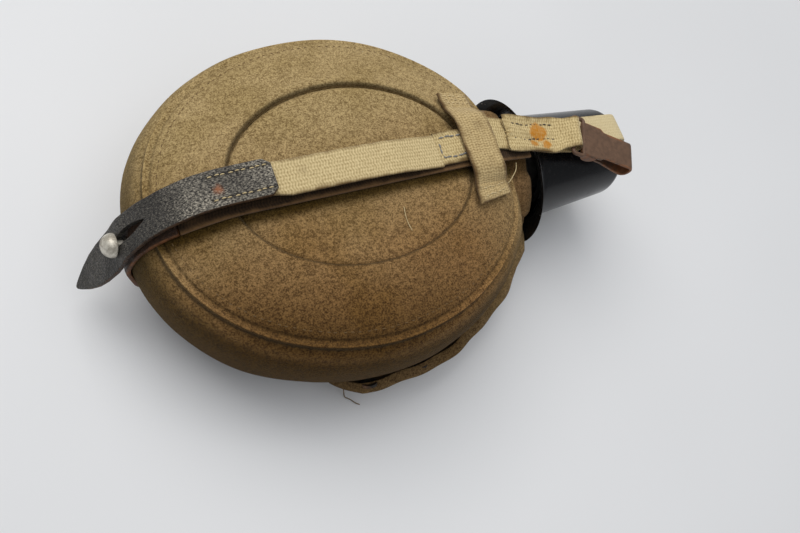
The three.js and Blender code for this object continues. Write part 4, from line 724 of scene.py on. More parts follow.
base_turn = np.linspace(0, np.pi / 2, 9)
cup_x = np.concatenate([[67.0, 67.0], 62 + 5 * np.cos(base_turn[::1]), np.linspace(58, 10, 14), np.linspace(9, 1.2, 16)])
cup_in = np.concatenate([[20.0, 8.0], 5 - 5 * np.sin(base_turn), np.zeros(30)])
lip_x, lip_in = np.array([0.9, 0.4, 0.0, 0.0]), np.array([-0.2, -0.35, 0.0, 0.6])
inner_x = np.concatenate([np.linspace(0.4, 8.4, 14), np.linspace(10, 60, 12), [63.0, 65.0, 65.8, 65.8]])
inner_in = np.concatenate([np.linspace(1.0, 1.2, 14), np.full(12, 1.2), [1.9, 3.5, 6.5, 20.0]])
cup_skin = np.concatenate([cup_rings(cup_x, cup_in), cup_rings(lip_x, lip_in), cup_rings(inner_x, inner_in)])
cup_mark = np.zeros(len(cup_skin))
cup_mark[len(cup_x) - 1:len(cup_x) + 5] = 1
cup_mark[2:10] = 0.5
piece("cup_shell", [shell(cup_skin, edge=cup_mark[:, None])], cup_black, "cup", ["cup"])

# Main strap on the worn face: ribbed cotton webbing, coloured very dark as painted shade, for it lies under the belt
# loop and the hook strap, and paler brown along its edges.
# It runs over the oval panel from the leather at the bottom to the cup's rim.
weave_group = bpy.data.node_groups.new("ribbed_weave", "ShaderNodeTree")
for name, kind, way in (("Light", "NodeSocketColor", "INPUT"), ("Dark", "NodeSocketColor", "INPUT"),
                        ("Stain", "NodeSocketColor", "INPUT"), ("Soiling", "NodeSocketFloat", "INPUT"),
                        ("Color", "NodeSocketColor", "OUTPUT"), ("Height", "NodeSocketFloat", "OUTPUT")):
    weave_group.interface.new_socket(name, in_out=way, socket_type=kind)
tree = weave_group
entry, exit_node = put(tree, "NodeGroupInput"), put(tree, "NodeGroupOutput")
texture = put(tree, "ShaderNodeTexCoord")
coords = texture.outputs["Object"]
lengths = put(tree, "ShaderNodeSeparateXYZ", {0: texture.outputs["UV"]})
edge = put(tree, "ShaderNodeAttribute", attribute_name="edge").outputs["Fac"]
warp = sums(tree, "SINE", sums(tree, "MULTIPLY", lengths.outputs["X"], 2 * np.pi / 0.17))
stagger = sums(tree, "SINE", sums(tree, "MULTIPLY", lengths.outputs["X"], 2 * np.pi / 0.34))
shifted = sums(tree, "ADD", sums(tree, "MULTIPLY", lengths.outputs["Y"], 2 * np.pi / 0.135),
               sums(tree, "MULTIPLY", stagger, 1.2))
rib = sums(tree, "SINE", shifted)
strands = grain(tree, coords, 950.0, 3.0, 0.7)
spread = grain(tree, coords, 75.0, 4.0, 0.65)
cloth = sums(tree, "ADD", sums(tree, "MULTIPLY", rib, 0.1), sums(tree, "MULTIPLY", warp, 0.06))
cloth = sums(tree, "ADD", sums(tree, "ADD", cloth, 0.4), sums(tree, "MULTIPLY", strands, 0.7))
thread = between(tree, ranged(tree, cloth, 0.45, 1.0), entry.outputs["Dark"], entry.outputs["Light"])
dirt = sums(tree, "ADD", sums(tree, "MULTIPLY", edge, 0.34), sums(tree, "ADD", spread, entry.outputs["Soiling"]))
dirt_mask = ranged(tree, dirt, 0.52, 0.95)
tree.links.new(between(tree, dirt_mask, thread, entry.outputs["Stain"]), exit_node.inputs["Color"])
tree.links.new(cloth, exit_node.inputs["Height"])


def webbing(name, light, dark, stain, soiling):
    """Cotton webbing: cross ribs and fine lengthwise warp from the UV map, with soiled edges and stains."""
    made, tree, shader = material(name, {"Roughness": 0.9, "Specular IOR Level": 0.2, "Sheen Weight": 0.12,
                                         "Sheen Roughness": 0.5})
    weave = put(tree, "ShaderNodeGroup", {"Soiling": soiling}, node_tree=weave_group)
    for key, value in (("Light", light), ("Dark", dark), ("Stain", stain)):
        weave.inputs[key].default_value = value
    tree.links.new(weave.outputs["Color"], shader.inputs["Base Color"])
    bumped(tree, shader, weave.outputs["Height"], 0.55, 0.0005)
    return made


def lengthwise(points, step, rounding, side):
    """Path in the upright plane at a side distance, from [x, z] points."""
    flat = follow(points, step, rounding)
    return np.stack([flat[:, 0], np.full(len(flat), float(side)), flat[:, 1]], 1)


def facing(path, across):
    """Normals of a strap's face along a path: its way times across."""
    up = np.cross(np.gradient(path, axis=0), across)
    return up / np.linalg.norm(up, axis=1, keepdims=True)


def ribbon(path, across, low, high, thickness, lift, relief=0.02, rib=1.35, fine=22, round_low=True, round_high=True):
    """Strap carried along a path of points, from low to high across it. A ring goes over the top and back
    underneath; the thickness falls off at rounded edges, and the faces rise by relief times the sine of the
    ribs along the path. Lift moves the strap's middle off the path, along way x across."""
    across = np.broadcast_to(np.asarray(across, float), path.shape)
    up = facing(path, across)
    run = np.concatenate([[0], np.cumsum(np.linalg.norm(np.diff(path, axis=0), axis=1))])
    share = np.sin(np.linspace(-1, 1, fine) * np.pi / 2)
    low, high = np.broadcast_to(low, run.shape)[:, None], np.broadcast_to(high, run.shape)[:, None]
    side = low + (high - low) * (share + 1) / 2
    rounded = np.abs(share) * np.where(share < 0, round_low, round_high)
    half = np.maximum(0.4, quarter(rounded, 7)) * thickness / 2
    ribs = relief * np.sin(2 * np.pi * run / rib)[:, None] * quarter(np.abs(share), 4)
    top = path[:, None] + across[:, None] * side[..., None] + up[:, None] * (lift + half + ribs)[..., None]
    under = path[:, None] + across[:, None] * side[..., None] + up[:, None] * (lift - half - ribs)[..., None]
    uv = np.stack(np.broadcast_arrays(side / 10, run[:, None] / 10), -1)
    mark = np.broadcast_to(np.clip((rounded - 0.72) / 0.28, 0, 1), side.shape)
    return (np.concatenate([top, under[:, ::-1]], 1), np.concatenate([uv, uv[:, ::-1]], 1),
            np.concatenate([mark, mark[:, ::-1]], 1))


def strap(rings):
    """Closed skin of a ribbon's rings, with its UV map and edge marks."""
    return shell(rings[0], uv=rings[1], edge=rings[2])


# Very dark colours for the main strap: painted shade under the belt loop and the hook strap; the paler third colour
# goes on its edges.
web_in_painted_shade = webbing("web_in_painted_shade", tone(66, 48, 30), tone(34, 24, 15), tone(118, 89, 58), 0.03)
OVAL_END, OVAL_START = OVAL_SHIFT + 59, OVAL_SHIFT - 59
CROWN = RIM_Z + 0.6
RIM_RUN, RIM_TOP = 103.6, 78.2
RUN_DROP = (RIM_Z - RIM_TOP) / (RIM_RUN - OVAL_END)


def run_height(x):
    """Underside of the main strap: level over the oval panel, then straight down to the cup's rim."""
    x = np.asarray(x, float)
    return np.where(x < OVAL_END, CROWN, RIM_Z + CLEAR - RUN_DROP * (x - OVAL_END))


def bottom_points(share, out, front):
    """[x, z] points of the body's middle section at its bottom end, out from the felt."""
    rings = cover(np.asarray(share, float), -out, np.array([np.pi]), front)
    return rings[:, 0][:, [0, 2]]


front_path = np.concatenate([
    bottom_points(np.linspace(0.8, OVAL + 0.06, 5), 0.5, True),
    [[OVAL_START, RIM_Z + 0.5], [OVAL_SHIFT, CROWN], [OVAL_END, RIM_Z + 0.5], [96, float(run_height(96))]]])
front_strap = ribbon(lengthwise(front_path, 0.6, 60, -2), (0, 1, 0), -8.5, 8.5, 1.8, 0.9)
piece("main_strap_front", [strap(front_strap)], web_in_painted_shade, "bottle", ["strap_front"])

# Leather of the main strap: a dark length round the bottle's bottom, sewn to the webbing at both ends.
# It takes the rubbing there and carries the stud of the belt loop.


def leather(name, deep, worn, raw_deep, raw_worn, rows_from, spot):
    """Old leather: a dark face with fine creases along its length and pebbled grain, brown on its cut edges, sunk along
    two stitch rows, with one rust spot at a place in metres.
    Its paler worn colour shows on creases and grain, most high up: wear, with a painted sheen on the top."""
    made, tree, shader = material(name, {"Specular IOR Level": 0.28})
    texture = put(tree, "ShaderNodeTexCoord")
    coords = texture.outputs["Object"]
    edge = put(tree, "ShaderNodeAttribute", attribute_name="edge").outputs["Fac"]
    drawn = put(tree, "ShaderNodeMapping", {"Vector": texture.outputs["UV"], "Scale": (24.0, 8.0, 1.0)}).outputs[0]
    creases = grain(tree, drawn, 1.0, 4.0, 0.65)
    pebbles = put(tree, "ShaderNodeTexVoronoi", {"Vector": coords, "Scale": 850.0}).outputs["Distance"]
    specks = ranged(tree, pebbles, 0.15, 0.55, 1.0, 0.0)
    rub = grain(tree, coords, 240.0, 5.0, 0.72)
    rub_wide = grain(tree, coords, 45.0, 3.0, 0.6)
    height = put(tree, "ShaderNodeSeparateXYZ", {0: coords}).outputs["Z"]
    share = sums(tree, "ADD", sums(tree, "MULTIPLY", ranged(tree, creases, 0.43, 0.6), 0.55), sums(tree, "MULTIPLY", specks, 0.45))
    share = sums(tree, "MULTIPLY", share, ranged(tree, rub_wide, 0.32, 0.62, 0.45, 1.0))
    # Lighter towards the top, from 82 to 93 mm up: wear and a painted sheen where the top faces the light; a little
    # lighter towards the hanging tip.
    place = sums(tree, "MAXIMUM", ranged(tree, height, 0.082, 0.093, 0.3, 1.25), ranged(tree, height, 0.058, 0.036, 0.0, 0.24))
    face = between(tree, sums(tree, "MULTIPLY", share, place), deep, worn)
    spot_gap = put(tree, "ShaderNodeVectorMath", {0: coords, 1: spot}, operation="DISTANCE").outputs["Value"]
    spot_gap = sums(tree, "ADD", spot_gap, sums(tree, "MULTIPLY", rub, 0.004))
    face = between(tree, ranged(tree, spot_gap, 0.0056, 0.0024, 0.0, 0.75), face, tone(176, 104, 58))
    sides = put(tree, "ShaderNodeSeparateXYZ", {0: texture.outputs["UV"]})
    row = sums(tree, "ABSOLUTE", sums(tree, "SUBTRACT", sums(tree, "ABSOLUTE", sides.outputs["X"]), 0.53))
    row = sums(tree, "MULTIPLY", ranged(tree, row, 0.025, 0.075, 0.75, 0.0), ranged(tree, sides.outputs["Y"], rows_from, rows_from + 0.1))
    face = between(tree, row, face, tone(24, 20, 18))
    raw = between(tree, ranged(tree, rub, 0.3, 0.7), raw_deep, raw_worn)
    tree.links.new(between(tree, ranged(tree, edge, 0.6, 0.95), face, raw), shader.inputs["Base Color"])
    tree.links.new(ranged(tree, rub, 0.3, 0.7, 0.38, 0.62), shader.inputs["Roughness"])
    relief = sums(tree, "ADD", sums(tree, "MULTIPLY", creases, 0.8), sums(tree, "MULTIPLY", specks, 0.4))
    bumped(tree, shader, sums(tree, "SUBTRACT", relief, row), 0.8, 0.0008)
    return made


rust_spot = tuple(((np.array([-62.0, -0.8, 93.5]) + body_middle) / 1000).tolist())
brown_leather = leather("brown_leather", tone(54, 37, 26), tone(128, 90, 60), tone(72, 46, 28), tone(132, 86, 50), 90.0, rust_spot)
LEATHER, STUD_Z = 2.4, 57.0
flat_low, flat_high = bottom_points(dome_share([STUD_Z - 5.9, STUD_Z + 5.9]), CLEAR, True)
leather_foot = float(belly_share(4.6))
leather_path = np.concatenate([
    bottom_points(np.linspace(leather_foot, 1, 9), 0.5, False), [flat_low, flat_high],
    bottom_points(np.linspace(float(dome_share(STUD_Z + 13.2)), 0.804, 4), 0.5, True)])
leather_strap = ribbon(lengthwise(leather_path, 0.7, 14, -2), (0, 1, 0), -8.5, 8.5, LEATHER, LEATHER / 2, 0.0)
piece("main_strap_leather", [strap(leather_strap)], brown_leather, "bottle", ["strap_bottom"])

# Main strap on the outer face: the same webbing, let into the felt, with a sewn eye round the buckle's bar.
web_tan = webbing("web_tan", tone(224, 204, 156), tone(166, 143, 98), tone(110, 86, 52), -0.04)
BUCKLE_X, BUCKLE_Z, BAR_R, FAR_BAR = 81.0, 5.2, 1.2, 94.0
eye_turn = np.linspace(-2.2, 3.5, 30)
back_path = np.concatenate([
    [[-HALF_LENGTH * leather_foot + 1.0, 1.3], [60, 1.3], [70, 1.9], [75.5, 3.0], [78.2, 4.6]],
    np.stack([BUCKLE_X - 2.3 * np.cos(eye_turn + 1.2), BUCKLE_Z + 2.3 * np.sin(eye_turn + 1.2)], 1)[8:26]])
back_lower = ribbon(lengthwise(back_path, 0.6, 6, -2), (0, 1, 0), -8.5, -2.4, 1.5, 0.0)
back_upper = ribbon(lengthwise(back_path, 0.6, 6, -2), (0, 1, 0), 2.4, 8.5, 1.5, 0.0)
back_flat = ribbon(lengthwise(back_path[:4], 0.6, 6, -2), (0, 1, 0), -2.5, 2.5, 1.5, 0.0)
piece("main_strap_back", [strap(back_lower), strap(back_upper), strap(back_flat)], web_tan, "bottle", ["strap_back"])

# Buckle: a bent steel wire frame on the main strap's end, with a prong that goes through the strap from the cup.


def rounded_frame(x_low, x_high, y_low, y_high, z, corner):
    """Closed path round a rectangle with quarter circles at its corners."""
    turn = np.linspace(0, np.pi / 2, 8)
    spots = [(x_high - corner, y_high - corner, 0), (x_low + corner, y_high - corner, 1),
             (x_low + corner, y_low + corner, 2), (x_high - corner, y_low + corner, 3)]
    return np.concatenate([np.stack([x + corner * np.cos(turn + k * np.pi / 2), y + corner * np.sin(turn + k * np.pi / 2),
                                     np.full(8, float(z))], 1) for x, y, k in spots])


buckle_path = rounded_frame(BUCKLE_X, FAR_BAR, -15, 11, BUCKLE_Z, 2.0)
piece("buckle_wire", [rod(buckle_path, BAR_R, True)], dark_steel, "bottle", ["buckle_frame"])
prong_turn = np.linspace(0.2, 5.6, 20)
prong_path = np.concatenate([
    np.stack([BUCKLE_X + 2.2 * np.cos(prong_turn), np.full(20, -2.0), BUCKLE_Z + 2.2 * np.sin(prong_turn)], 1),
    [[84, -2, 3.2], [90, -2, 3.1], [96, -2, 3.0]]])
prong_size = np.concatenate([np.full(20, 0.85), [0.85, 0.75, 0.55]])
prong = rod(follow(prong_path, 0.6, 3), 0.8)
piece("buckle_tongue", [prong], dark_steel, "prong", ["buckle_prong"])

# Main strap over the cup: clean tan webbing from the cup's rim, over its base and back through the buckle.
# Its holes take the prong.
cup_path = [[96.3, float(run_height(96.3))], [RIM_RUN, 78.6], [165, 68.4], [168.5, 66.9], [170.4, 63.4], [170.4, 18.6],
            [168.5, 15.1], [165, 13.6], [104.6, 3.4], [101, 3.4], [95, 8.3], [92, 8.3], [83, 1.8], [75.5, 1.8]]
cup_run = lengthwise(cup_path, 0.6, 6, 1)
web_clean = webbing("web_clean", tone(224, 207, 164), tone(202, 183, 139), tone(140, 116, 78), -0.14)
cup_band = ribbon(cup_run, (0, 1, 0), -8, 8, 1.6, 0.8)
piece("main_strap_cup", [strap(cup_band)], web_clean, ("bottle", "cup", (103, 1, 41), (150, 1, 41)), ["cup_strap"])

# Hook strap: webbing sewn to the main strap by the box stitch, under the keeper, and folded round the hook's eye.
# The fold's cut end is frayed, and rust from the hook has stained it.
TURN_PLACE, CHAPE_START, CHAPE_FOLD = 75.0, 84.0, 124.0
EYE_R, EYE_HOLE = 1.1, 2.6


def over_strap(x):
    """Underside of the hook strap: the main strap's top and a gap, then level past the cup's rim."""
    return run_height(np.minimum(x, RIM_RUN)) + 1.8 + 2 * GAP


FOLD_Z = float(over_strap(CHAPE_FOLD)) + EYE_HOLE + 1.6


def turn_aside(points):
    """Shifts the strap sideways under the keeper, then turns it aside by 11 degrees, with its fold askew."""
    x, side = points[..., 0], points[..., 1]
    along = x - TURN_PLACE
    askew = np.clip((x - CHAPE_START) / (CHAPE_FOLD - CHAPE_START), 0, 1)
    ahead = along - side * np.tan(np.radians(-7.5)) * askew
    cos, sin = np.cos(np.radians(-11)), np.sin(np.radians(-11))
    beyond = along > 0
    moved_x = np.where(beyond, TURN_PLACE + ahead * cos - side * sin, x)
    moved_y = np.where(beyond, ahead * sin + side * cos, side) + 4.5 * np.clip(1 + along / 18, 0, 1)
    return np.stack([moved_x, moved_y, points[..., 2]], -1)


fold_turn = np.linspace(-np.pi / 2, np.pi / 2, 16)
fold_r = EYE_HOLE + 0.8
hook_low = [[x, float(over_strap(x)) + 0.8] for x in (43.3, OVAL_END, TURN_PLACE, CHAPE_START, RIM_RUN, 118)]
hook_fold = np.stack([CHAPE_FOLD + fold_r * np.cos(fold_turn), FOLD_Z + fold_r * np.sin(fold_turn)], 1)
hook_high = [[x, float(over_strap(x)) + 2.45] for x in (112.5, RIM_RUN, CHAPE_START + 0.4)]
hook_path = lengthwise(np.concatenate([hook_low, hook_fold, hook_high]), 0.55, 8, 0)
hook_ring, hook_uv, hook_mark = ribbon(hook_path, (0, 1, 0), -8.5, 8.5, 1.55, 0.0)
fray = np.clip((np.arange(len(hook_path)) - len(hook_path) + 9) / 9, 0, 1)[:, None]
fray_wave = np.sin(hook_ring[..., 1] * 2.3) + 0.7 * np.sin(hook_ring[..., 1] * 5.1 + 1)
hook_ring[..., 0] -= 1.2 * fray * fray_wave
hook_ring[..., 2] += 0.5 * fray * np.abs(fray_wave)
chape_top = (np.cumsum(np.diff(hook_path[:, 0], prepend=0) < 0) > 0)[:, None]
chape_edge = (np.abs(hook_ring[..., 1]) / 8.5) ** 5
hook_ring[..., 2] += chape_top * (0.25 * np.sin(hook_ring[..., 0] / 2.7 + hook_ring[..., 1] / 3)
                                  + 0.6 * chape_edge * (0.5 + 0.5 * np.sin(hook_ring[..., 0] / 3.9)))
chape_rows_y = np.array([4.6, -2.4])
chape_side = hook_ring[..., 1, None] - chape_rows_y
chape_puff = np.prod(1 - np.exp(-(chape_side / 1.5) ** 2), -1)
chape_span = np.clip((hook_ring[..., 0] - 85) / 3, 0, 1) * np.clip((115 - hook_ring[..., 0]) / 5, 0, 1)
hook_ring[..., 2] += 0.9 * chape_top * chape_span * chape_puff
chape_wide = np.clip((hook_ring[..., 0] - 80) / 5, 0, 1) * np.clip((118 - hook_ring[..., 0]) / 6, 0, 1)
hook_ring[..., 1] *= 1 + 0.17 * chape_top * chape_wide
chape_wave = np.clip((hook_ring[..., 0] - 84) / 6, 0, 1) * np.clip((118 - hook_ring[..., 0]) / 6, 0, 1)
hook_ring[..., 1] += 0.5 * chape_wave * np.sin(hook_ring[..., 0] / 4.3) * np.sign(hook_ring[..., 1]) * chape_edge
web_chape, tree, shader = material("web_rusted", {"Roughness": 0.9, "Specular IOR Level": 0.2, "Sheen Weight": 0.12,
                                                  "Sheen Roughness": 0.5})
weave = put(tree, "ShaderNodeGroup", {"Soiling": 0.02}, node_tree=weave_group)
for key, value in (("Light", tone(222, 201, 150)), ("Dark", tone(158, 134, 88)), ("Stain", tone(104, 82, 48))):
    weave.inputs[key].default_value = value
coords = put(tree, "ShaderNodeTexCoord").outputs["Object"]
rust_places = turn_aside(np.array([[103.5, 1.2, 84.2], [100, -5.6, 84.2], [107.5, -5.8, 84.2]]))
rust = 0.0
for spot, reach in zip((rust_places + body_middle) / 1000, (0.0052, 0.0026, 0.0028)):
    gap = put(tree, "ShaderNodeVectorMath", {0: coords, 1: tuple(spot)}, operation="DISTANCE").outputs["Value"]
    wobble = sums(tree, "MULTIPLY", grain(tree, coords, 520.0, 3.0, 0.7), 0.004)
    rust = sums(tree, "MAXIMUM", rust, ranged(tree, sums(tree, "ADD", gap, wobble), reach + 0.0026, reach + 0.0008))
rusted = between(tree, sums(tree, "MULTIPLY", rust, ranged(tree, grain(tree, coords, 700.0, 3.0), 0.3, 0.7, 0.7, 1.0)),
                 weave.outputs["Color"], tone(190, 124, 30))
tree.links.new(rusted, shader.inputs["Base Color"])
bumped(tree, shader, weave.outputs["Height"], 0.55, 0.0005)
dark_thread, tree, shader = material("dark_thread", {"Roughness": 0.9})
coords = put(tree, "ShaderNodeTexCoord").outputs["Object"]
tree.links.new(between(tree, grain(tree, coords, 800.0), tone(48, 42, 38), tone(96, 88, 78)), shader.inputs["Base Color"])
box_corners = np.array([[44.6, 5.2], [60, 5.2], [60, -5.2], [44.6, -5.2], [44.6, 5.2]])
box_line = follow(box_corners, 0.6, 0)
box_line = np.column_stack([box_line, over_strap(box_line[:, 0]) + 1.6])
chape_x = np.linspace(87, 116, 46)
chape_rows = [np.column_stack([chape_x, side + 0.5 * np.sin(chape_x / 4), over_strap(chape_x) + 3.2])
              for side in 1.17 * chape_rows_y]
piece("hook_strap_stitches", [sewing(turn_aside(row), (0, 0, 1), 2.9, 0.8, 0.7) for row in chape_rows], dark_thread, "bottle")
grey_thread, tree, shader = material("grey_thread", {"Roughness": 0.9})
coords = put(tree, "ShaderNodeTexCoord").outputs["Object"]
tree.links.new(between(tree, grain(tree, coords, 800.0), tone(84, 84, 86), tone(176, 172, 162)), shader.inputs["Base Color"])
piece("box_stitches", [sewing(turn_aside(box_line), (0, 0, 1), 3.0, 0.95, 0.9)], grey_thread, "bottle")
piece("hook_strap_web", [shell(turn_aside(hook_ring), uv=hook_uv, edge=hook_mark)], web_chape, "bottle",
      ["hook_strap"])

# Keeper: a short cross strap over the harness, with its ends turned under and sewn to the felt.
web_keeper = webbing("web_keeper", tone(212, 188, 138), tone(146, 120, 77), tone(100, 76, 45), 0.02)
KEEPER_X, KEEPER_THICK = 66.0, 1.8
keeper_roof = float(over_strap(KEEPER_X)) + 1.6 + GAP
TUNNEL = 13.4
felt_slope = (dome(57 / 99) - dome(75 / 99)) / 18


def keeper_foot(y):
    """Height of the felt beside the straps at the keeper."""
    return float(dome(np.hypot((KEEPER_X - OVAL_SHIFT) / HALF_LENGTH, y / (HALF_WIDTH * 0.94))))


keeper_half = [[30, keeper_foot(30) + 0.4], [22.2, keeper_foot(22.2) + 0.4], [TUNNEL + 1.2, keeper_roof - 0.6],
               [TUNNEL - 1.5, keeper_roof]]
keeper_all = keeper_half + [[-y, z] for y, z in reversed(keeper_half)]
keeper_flat = follow(keeper_all, 0.55, 10)
keeper_path = np.stack([np.full(len(keeper_flat), KEEPER_X), keeper_flat[:, 0], keeper_flat[:, 1]], 1)
keeper_wide = 9.7 + 1.6 * np.clip((-17 - keeper_path[:, 1]) / 8, 0, 1)
keeper_ring, keeper_uv, keeper_mark = ribbon(keeper_path, (1, 0, 0), -keeper_wide, keeper_wide, KEEPER_THICK, 0.9, 0.04)
# The near cut end takes the stain colour too: grime and painted shade under the lifted end.
keeper_mark = np.maximum(keeper_mark, np.clip((-28.6 - keeper_path[:, 1]) / 1.2, 0, 1)[:, None])


def keeper_lay(points):
    """Lays the keeper on the harness and the felt: it slopes along X with what is under it, its turned ends
    are thicker, its near end is cut aslant, and its sides waver."""
    x, y, z = points[..., 0], points[..., 1], points[..., 2]
    away = np.clip((np.abs(y) - 15.2) / 7, 0, 1)
    off = x - KEEPER_X
    hem = np.clip((np.abs(y) - 21.5) / 1.2, 0, 1)
    return np.stack([x + 0.4 * np.sin(y / 5), y + 0.22 * off * np.clip((-18 - y) / 8, 0, 1) + 2.0 * np.clip((-18 - y) / 8, 0, 1),
                     z - off * (RUN_DROP + (felt_slope - RUN_DROP) * away) + 1.1 * hem + 0.7 * np.clip((-24 - y) / 3, 0, 1)
                     + 0.15 * np.sin(off * 0.9 + y / 3)], -1)


piece("keeper_band", [shell(keeper_lay(keeper_ring), uv=keeper_uv, edge=keeper_mark)], web_keeper, "bottle",
      ["keeper_loop"])
cream_thread, tree, shader = material("cream_thread", {"Roughness": 0.9})
coords = put(tree, "ShaderNodeTexCoord").outputs["Object"]
tree.links.new(between(tree, grain(tree, coords, 800.0), tone(178, 154, 108), tone(236, 217, 172)), shader.inputs["Base Color"])
keeper_rows = []
keeper_up = facing(keeper_path, (1, 0, 0))
for side in (28.0, 25.6, 23.2, -23.2, -27.4):
    near_row = np.argmin(np.abs(keeper_path[:, 1] - side))
    row = (keeper_path[near_row] + keeper_up[near_row] * (KEEPER_THICK + 0.12)) + np.outer(np.linspace(-8, 8, 24), (1, 0, 0))
    keeper_rows.append(sewing(keeper_lay(row), keeper_up[near_row], 3.3, 0.78, 0.66))
loose = follow([[76, -22, 77.5], [81, -19.5, 78.5], [86, -15, 79.5], [88, -11, 79]], 0.5, 12)
keeper_rows.append(rod(loose, 0.22, sides=6))
piece("keeper_stitches", keeper_rows, cream_thread, "bottle")
fibre_y = np.linspace(-22.6, -34.2, 30)
fibre_x = 17.9 + 0.9 * np.sin((fibre_y + 22.6) / 4)
fibre_z = panel(np.hypot((fibre_x - OVAL_SHIFT) / HALF_LENGTH, fibre_y / (HALF_WIDTH * OVAL_NARROWING)), 0, np.zeros(1))[:, 0, 2]
piece("stray_fibre", [rod(np.column_stack([fibre_x, fibre_y, fibre_z + 0.5]), 0.17, sides=6)], cream_thread, "bottle")

# Belt loop: webbing from the box stitch, clear of the main strap, so that a belt can pass under it.
STRAP_TOP, LOOP_Z = CROWN + 1.8, CROWN + 6.8
loop_path = [[-58, LOOP_Z - 1.6], [-38, LOOP_Z - 0.3], [0, LOOP_Z], [19, LOOP_Z - 0.8], [33, STRAP_TOP + 1.8],
             [43, STRAP_TOP + GAP]]
loop_run = lengthwise(loop_path, 0.55, 60, 0)
loop_near = np.interp(loop_run[:, 0], [-40, -32], [-7.4, -9.1])
loop_band = ribbon(loop_run, (0, 1, 0), loop_near, 7.6, 1.7, 0.85)
piece("belt_loop_band", [strap(loop_band)], web_tan, ("bottle", "belt_loop", (43, 0, 88), (34, 0, 88)),
      ["belt_loop_web"])

# Stud of the belt loop: a domed head of pale dull metal on a short neck, riveted through the leather on a washer.
stud_up = (flat_high - flat_low) / np.linalg.norm(flat_high - flat_low)
stud_out = np.array([-stud_up[1], stud_up[0]])
TAB_CLEAR = 0.8 + 3 * GAP


def by_stud(up, out):
    """[x, z] point by the stud: up along the leather and out from its outer face."""
    return (flat_low + flat_high) / 2 + stud_up * up + stud_out * (LEATHER + out)


def on_stud(radius, out):
    """Rings about the stud's axis from radii and distances off the leather."""
    turn = np.linspace(0, 2 * np.pi, 40, endpoint=False)
    radius, out = np.asarray(radius, float)[:, None], np.asarray(out, float)[:, None]
    foot = by_stud(0, 0)
    x = foot[0] + stud_out[0] * out + stud_up[0] * radius * np.cos(turn)
    z = foot[1] + stud_out[1] * out + stud_up[1] * radius * np.cos(turn)
    return np.stack(np.broadcast_arrays(x, -1 + radius * np.sin(turn), z), -1)


stud_pale, tree, shader = material("pale_stud_metal", {"Metallic": 0.45})
coords = put(tree, "ShaderNodeTexCoord").outputs["Object"]
dull = grain(tree, coords, 260.0, 5.0, 0.7)
tree.links.new(between(tree, ranged(tree, dull, 0.35, 0.65), tone(222, 216, 202), tone(158, 150, 136)),
               shader.inputs["Base Color"])
tree.links.new(ranged(tree, dull, 0.3, 0.7, 0.34, 0.58), shader.inputs["Roughness"])
bumped(tree, shader, dull, 0.3, 0.0003)
HEAD = TAB_CLEAR + LEATHER + 2 * GAP
head_turn = np.linspace(0, np.pi / 2 * 0.96, 10)
stud_r = np.concatenate([[1.0, 2.0, 2.0, 2.4, 4.9, 5.4], 5.4 * np.cos(head_turn)])
stud_h = np.concatenate([[GAP, GAP, HEAD - 0.3, HEAD, HEAD, HEAD + 0.3], HEAD + 0.8 + 4.9 * np.sin(head_turn)])
piece("stud_head", [shell(on_stud(stud_r, stud_h))], stud_pale, "bottle", ["belt_stud"])
washer = on_stud([2.3, 2.3, 4.2, 4.4, 4.4, 4.2], [1.1, GAP, GAP, GAP + 0.2, 0.9, 1.1])
piece("stud_washer_ring", [shell(washer, looped=True)], dark_steel, "bottle", ["stud_washer"])

# Tab of the belt loop: black leather sewn to the webbing, with a slit that buttons on the stud.
# Its point hangs free, its grain has cracked, and the cut edges show brown.
tab_low = by_stud(-6.5, TAB_CLEAR)
tab_far = [bottom_points([dome_share(STUD_Z + up)], CLEAR + LEATHER + TAB_CLEAR + out, True)[0]
           for up, out in ((15, 1.2), (21, 3.0))]
tab_points = np.array([*[tab_low - np.array([17, 34]) * share for share in (1, 0.57, 0.2)], tab_low,
                       by_stud(6.5, TAB_CLEAR), *tab_far, [-71, LOOP_Z - 2.0], [-60, LOOP_Z + 0.6], [-38, LOOP_Z + 2.0]])
tab_run = lengthwise(tab_points, 0.6, 30, 0)
tab_length = np.concatenate([[0], np.cumsum(np.linalg.norm(np.diff(tab_run, axis=0), axis=1))])
tab_half = 8.5 * np.interp(tab_length, [0, 1, 4, 10, 18, 26, 36, 46, 56, 70, 140],
                           [0.06, 0.18, 0.36, 0.66, 0.94, 1.08, 1.14, 1.12, 1.05, 1.0, 1.0])
tab_half -= np.clip((tab_length - tab_length[-1] + 3.2) * 0.8, 0, 2.6)
stud_spot = np.array([by_stud(0, TAB_CLEAR)[0], 0, by_stud(0, TAB_CLEAR)[1]])
stud_run = tab_length[np.argmin(np.linalg.norm(tab_run - stud_spot, axis=1))]
slit = 2.5 * np.maximum(0, 1 - ((tab_length - stud_run - 9.0) / 13.0) ** 2) ** 0.8
tab_side = np.interp(tab_length, [0, stud_run, stud_run + 30], [-1.5, -1.0, 0.0])
tab_run[:, 1] += tab_side
tab_parts = [
    strap(ribbon(tab_run, (0, 1, 0), -tab_half, -slit, LEATHER, LEATHER / 2, 0.0, round_high=False)),
    strap(ribbon(tab_run, (0, 1, 0), slit, tab_half, LEATHER, LEATHER / 2, 0.0, round_low=False))]
SEWN = 28.0
tab_sewn = tab_run[tab_length > tab_length[-1] - SEWN]
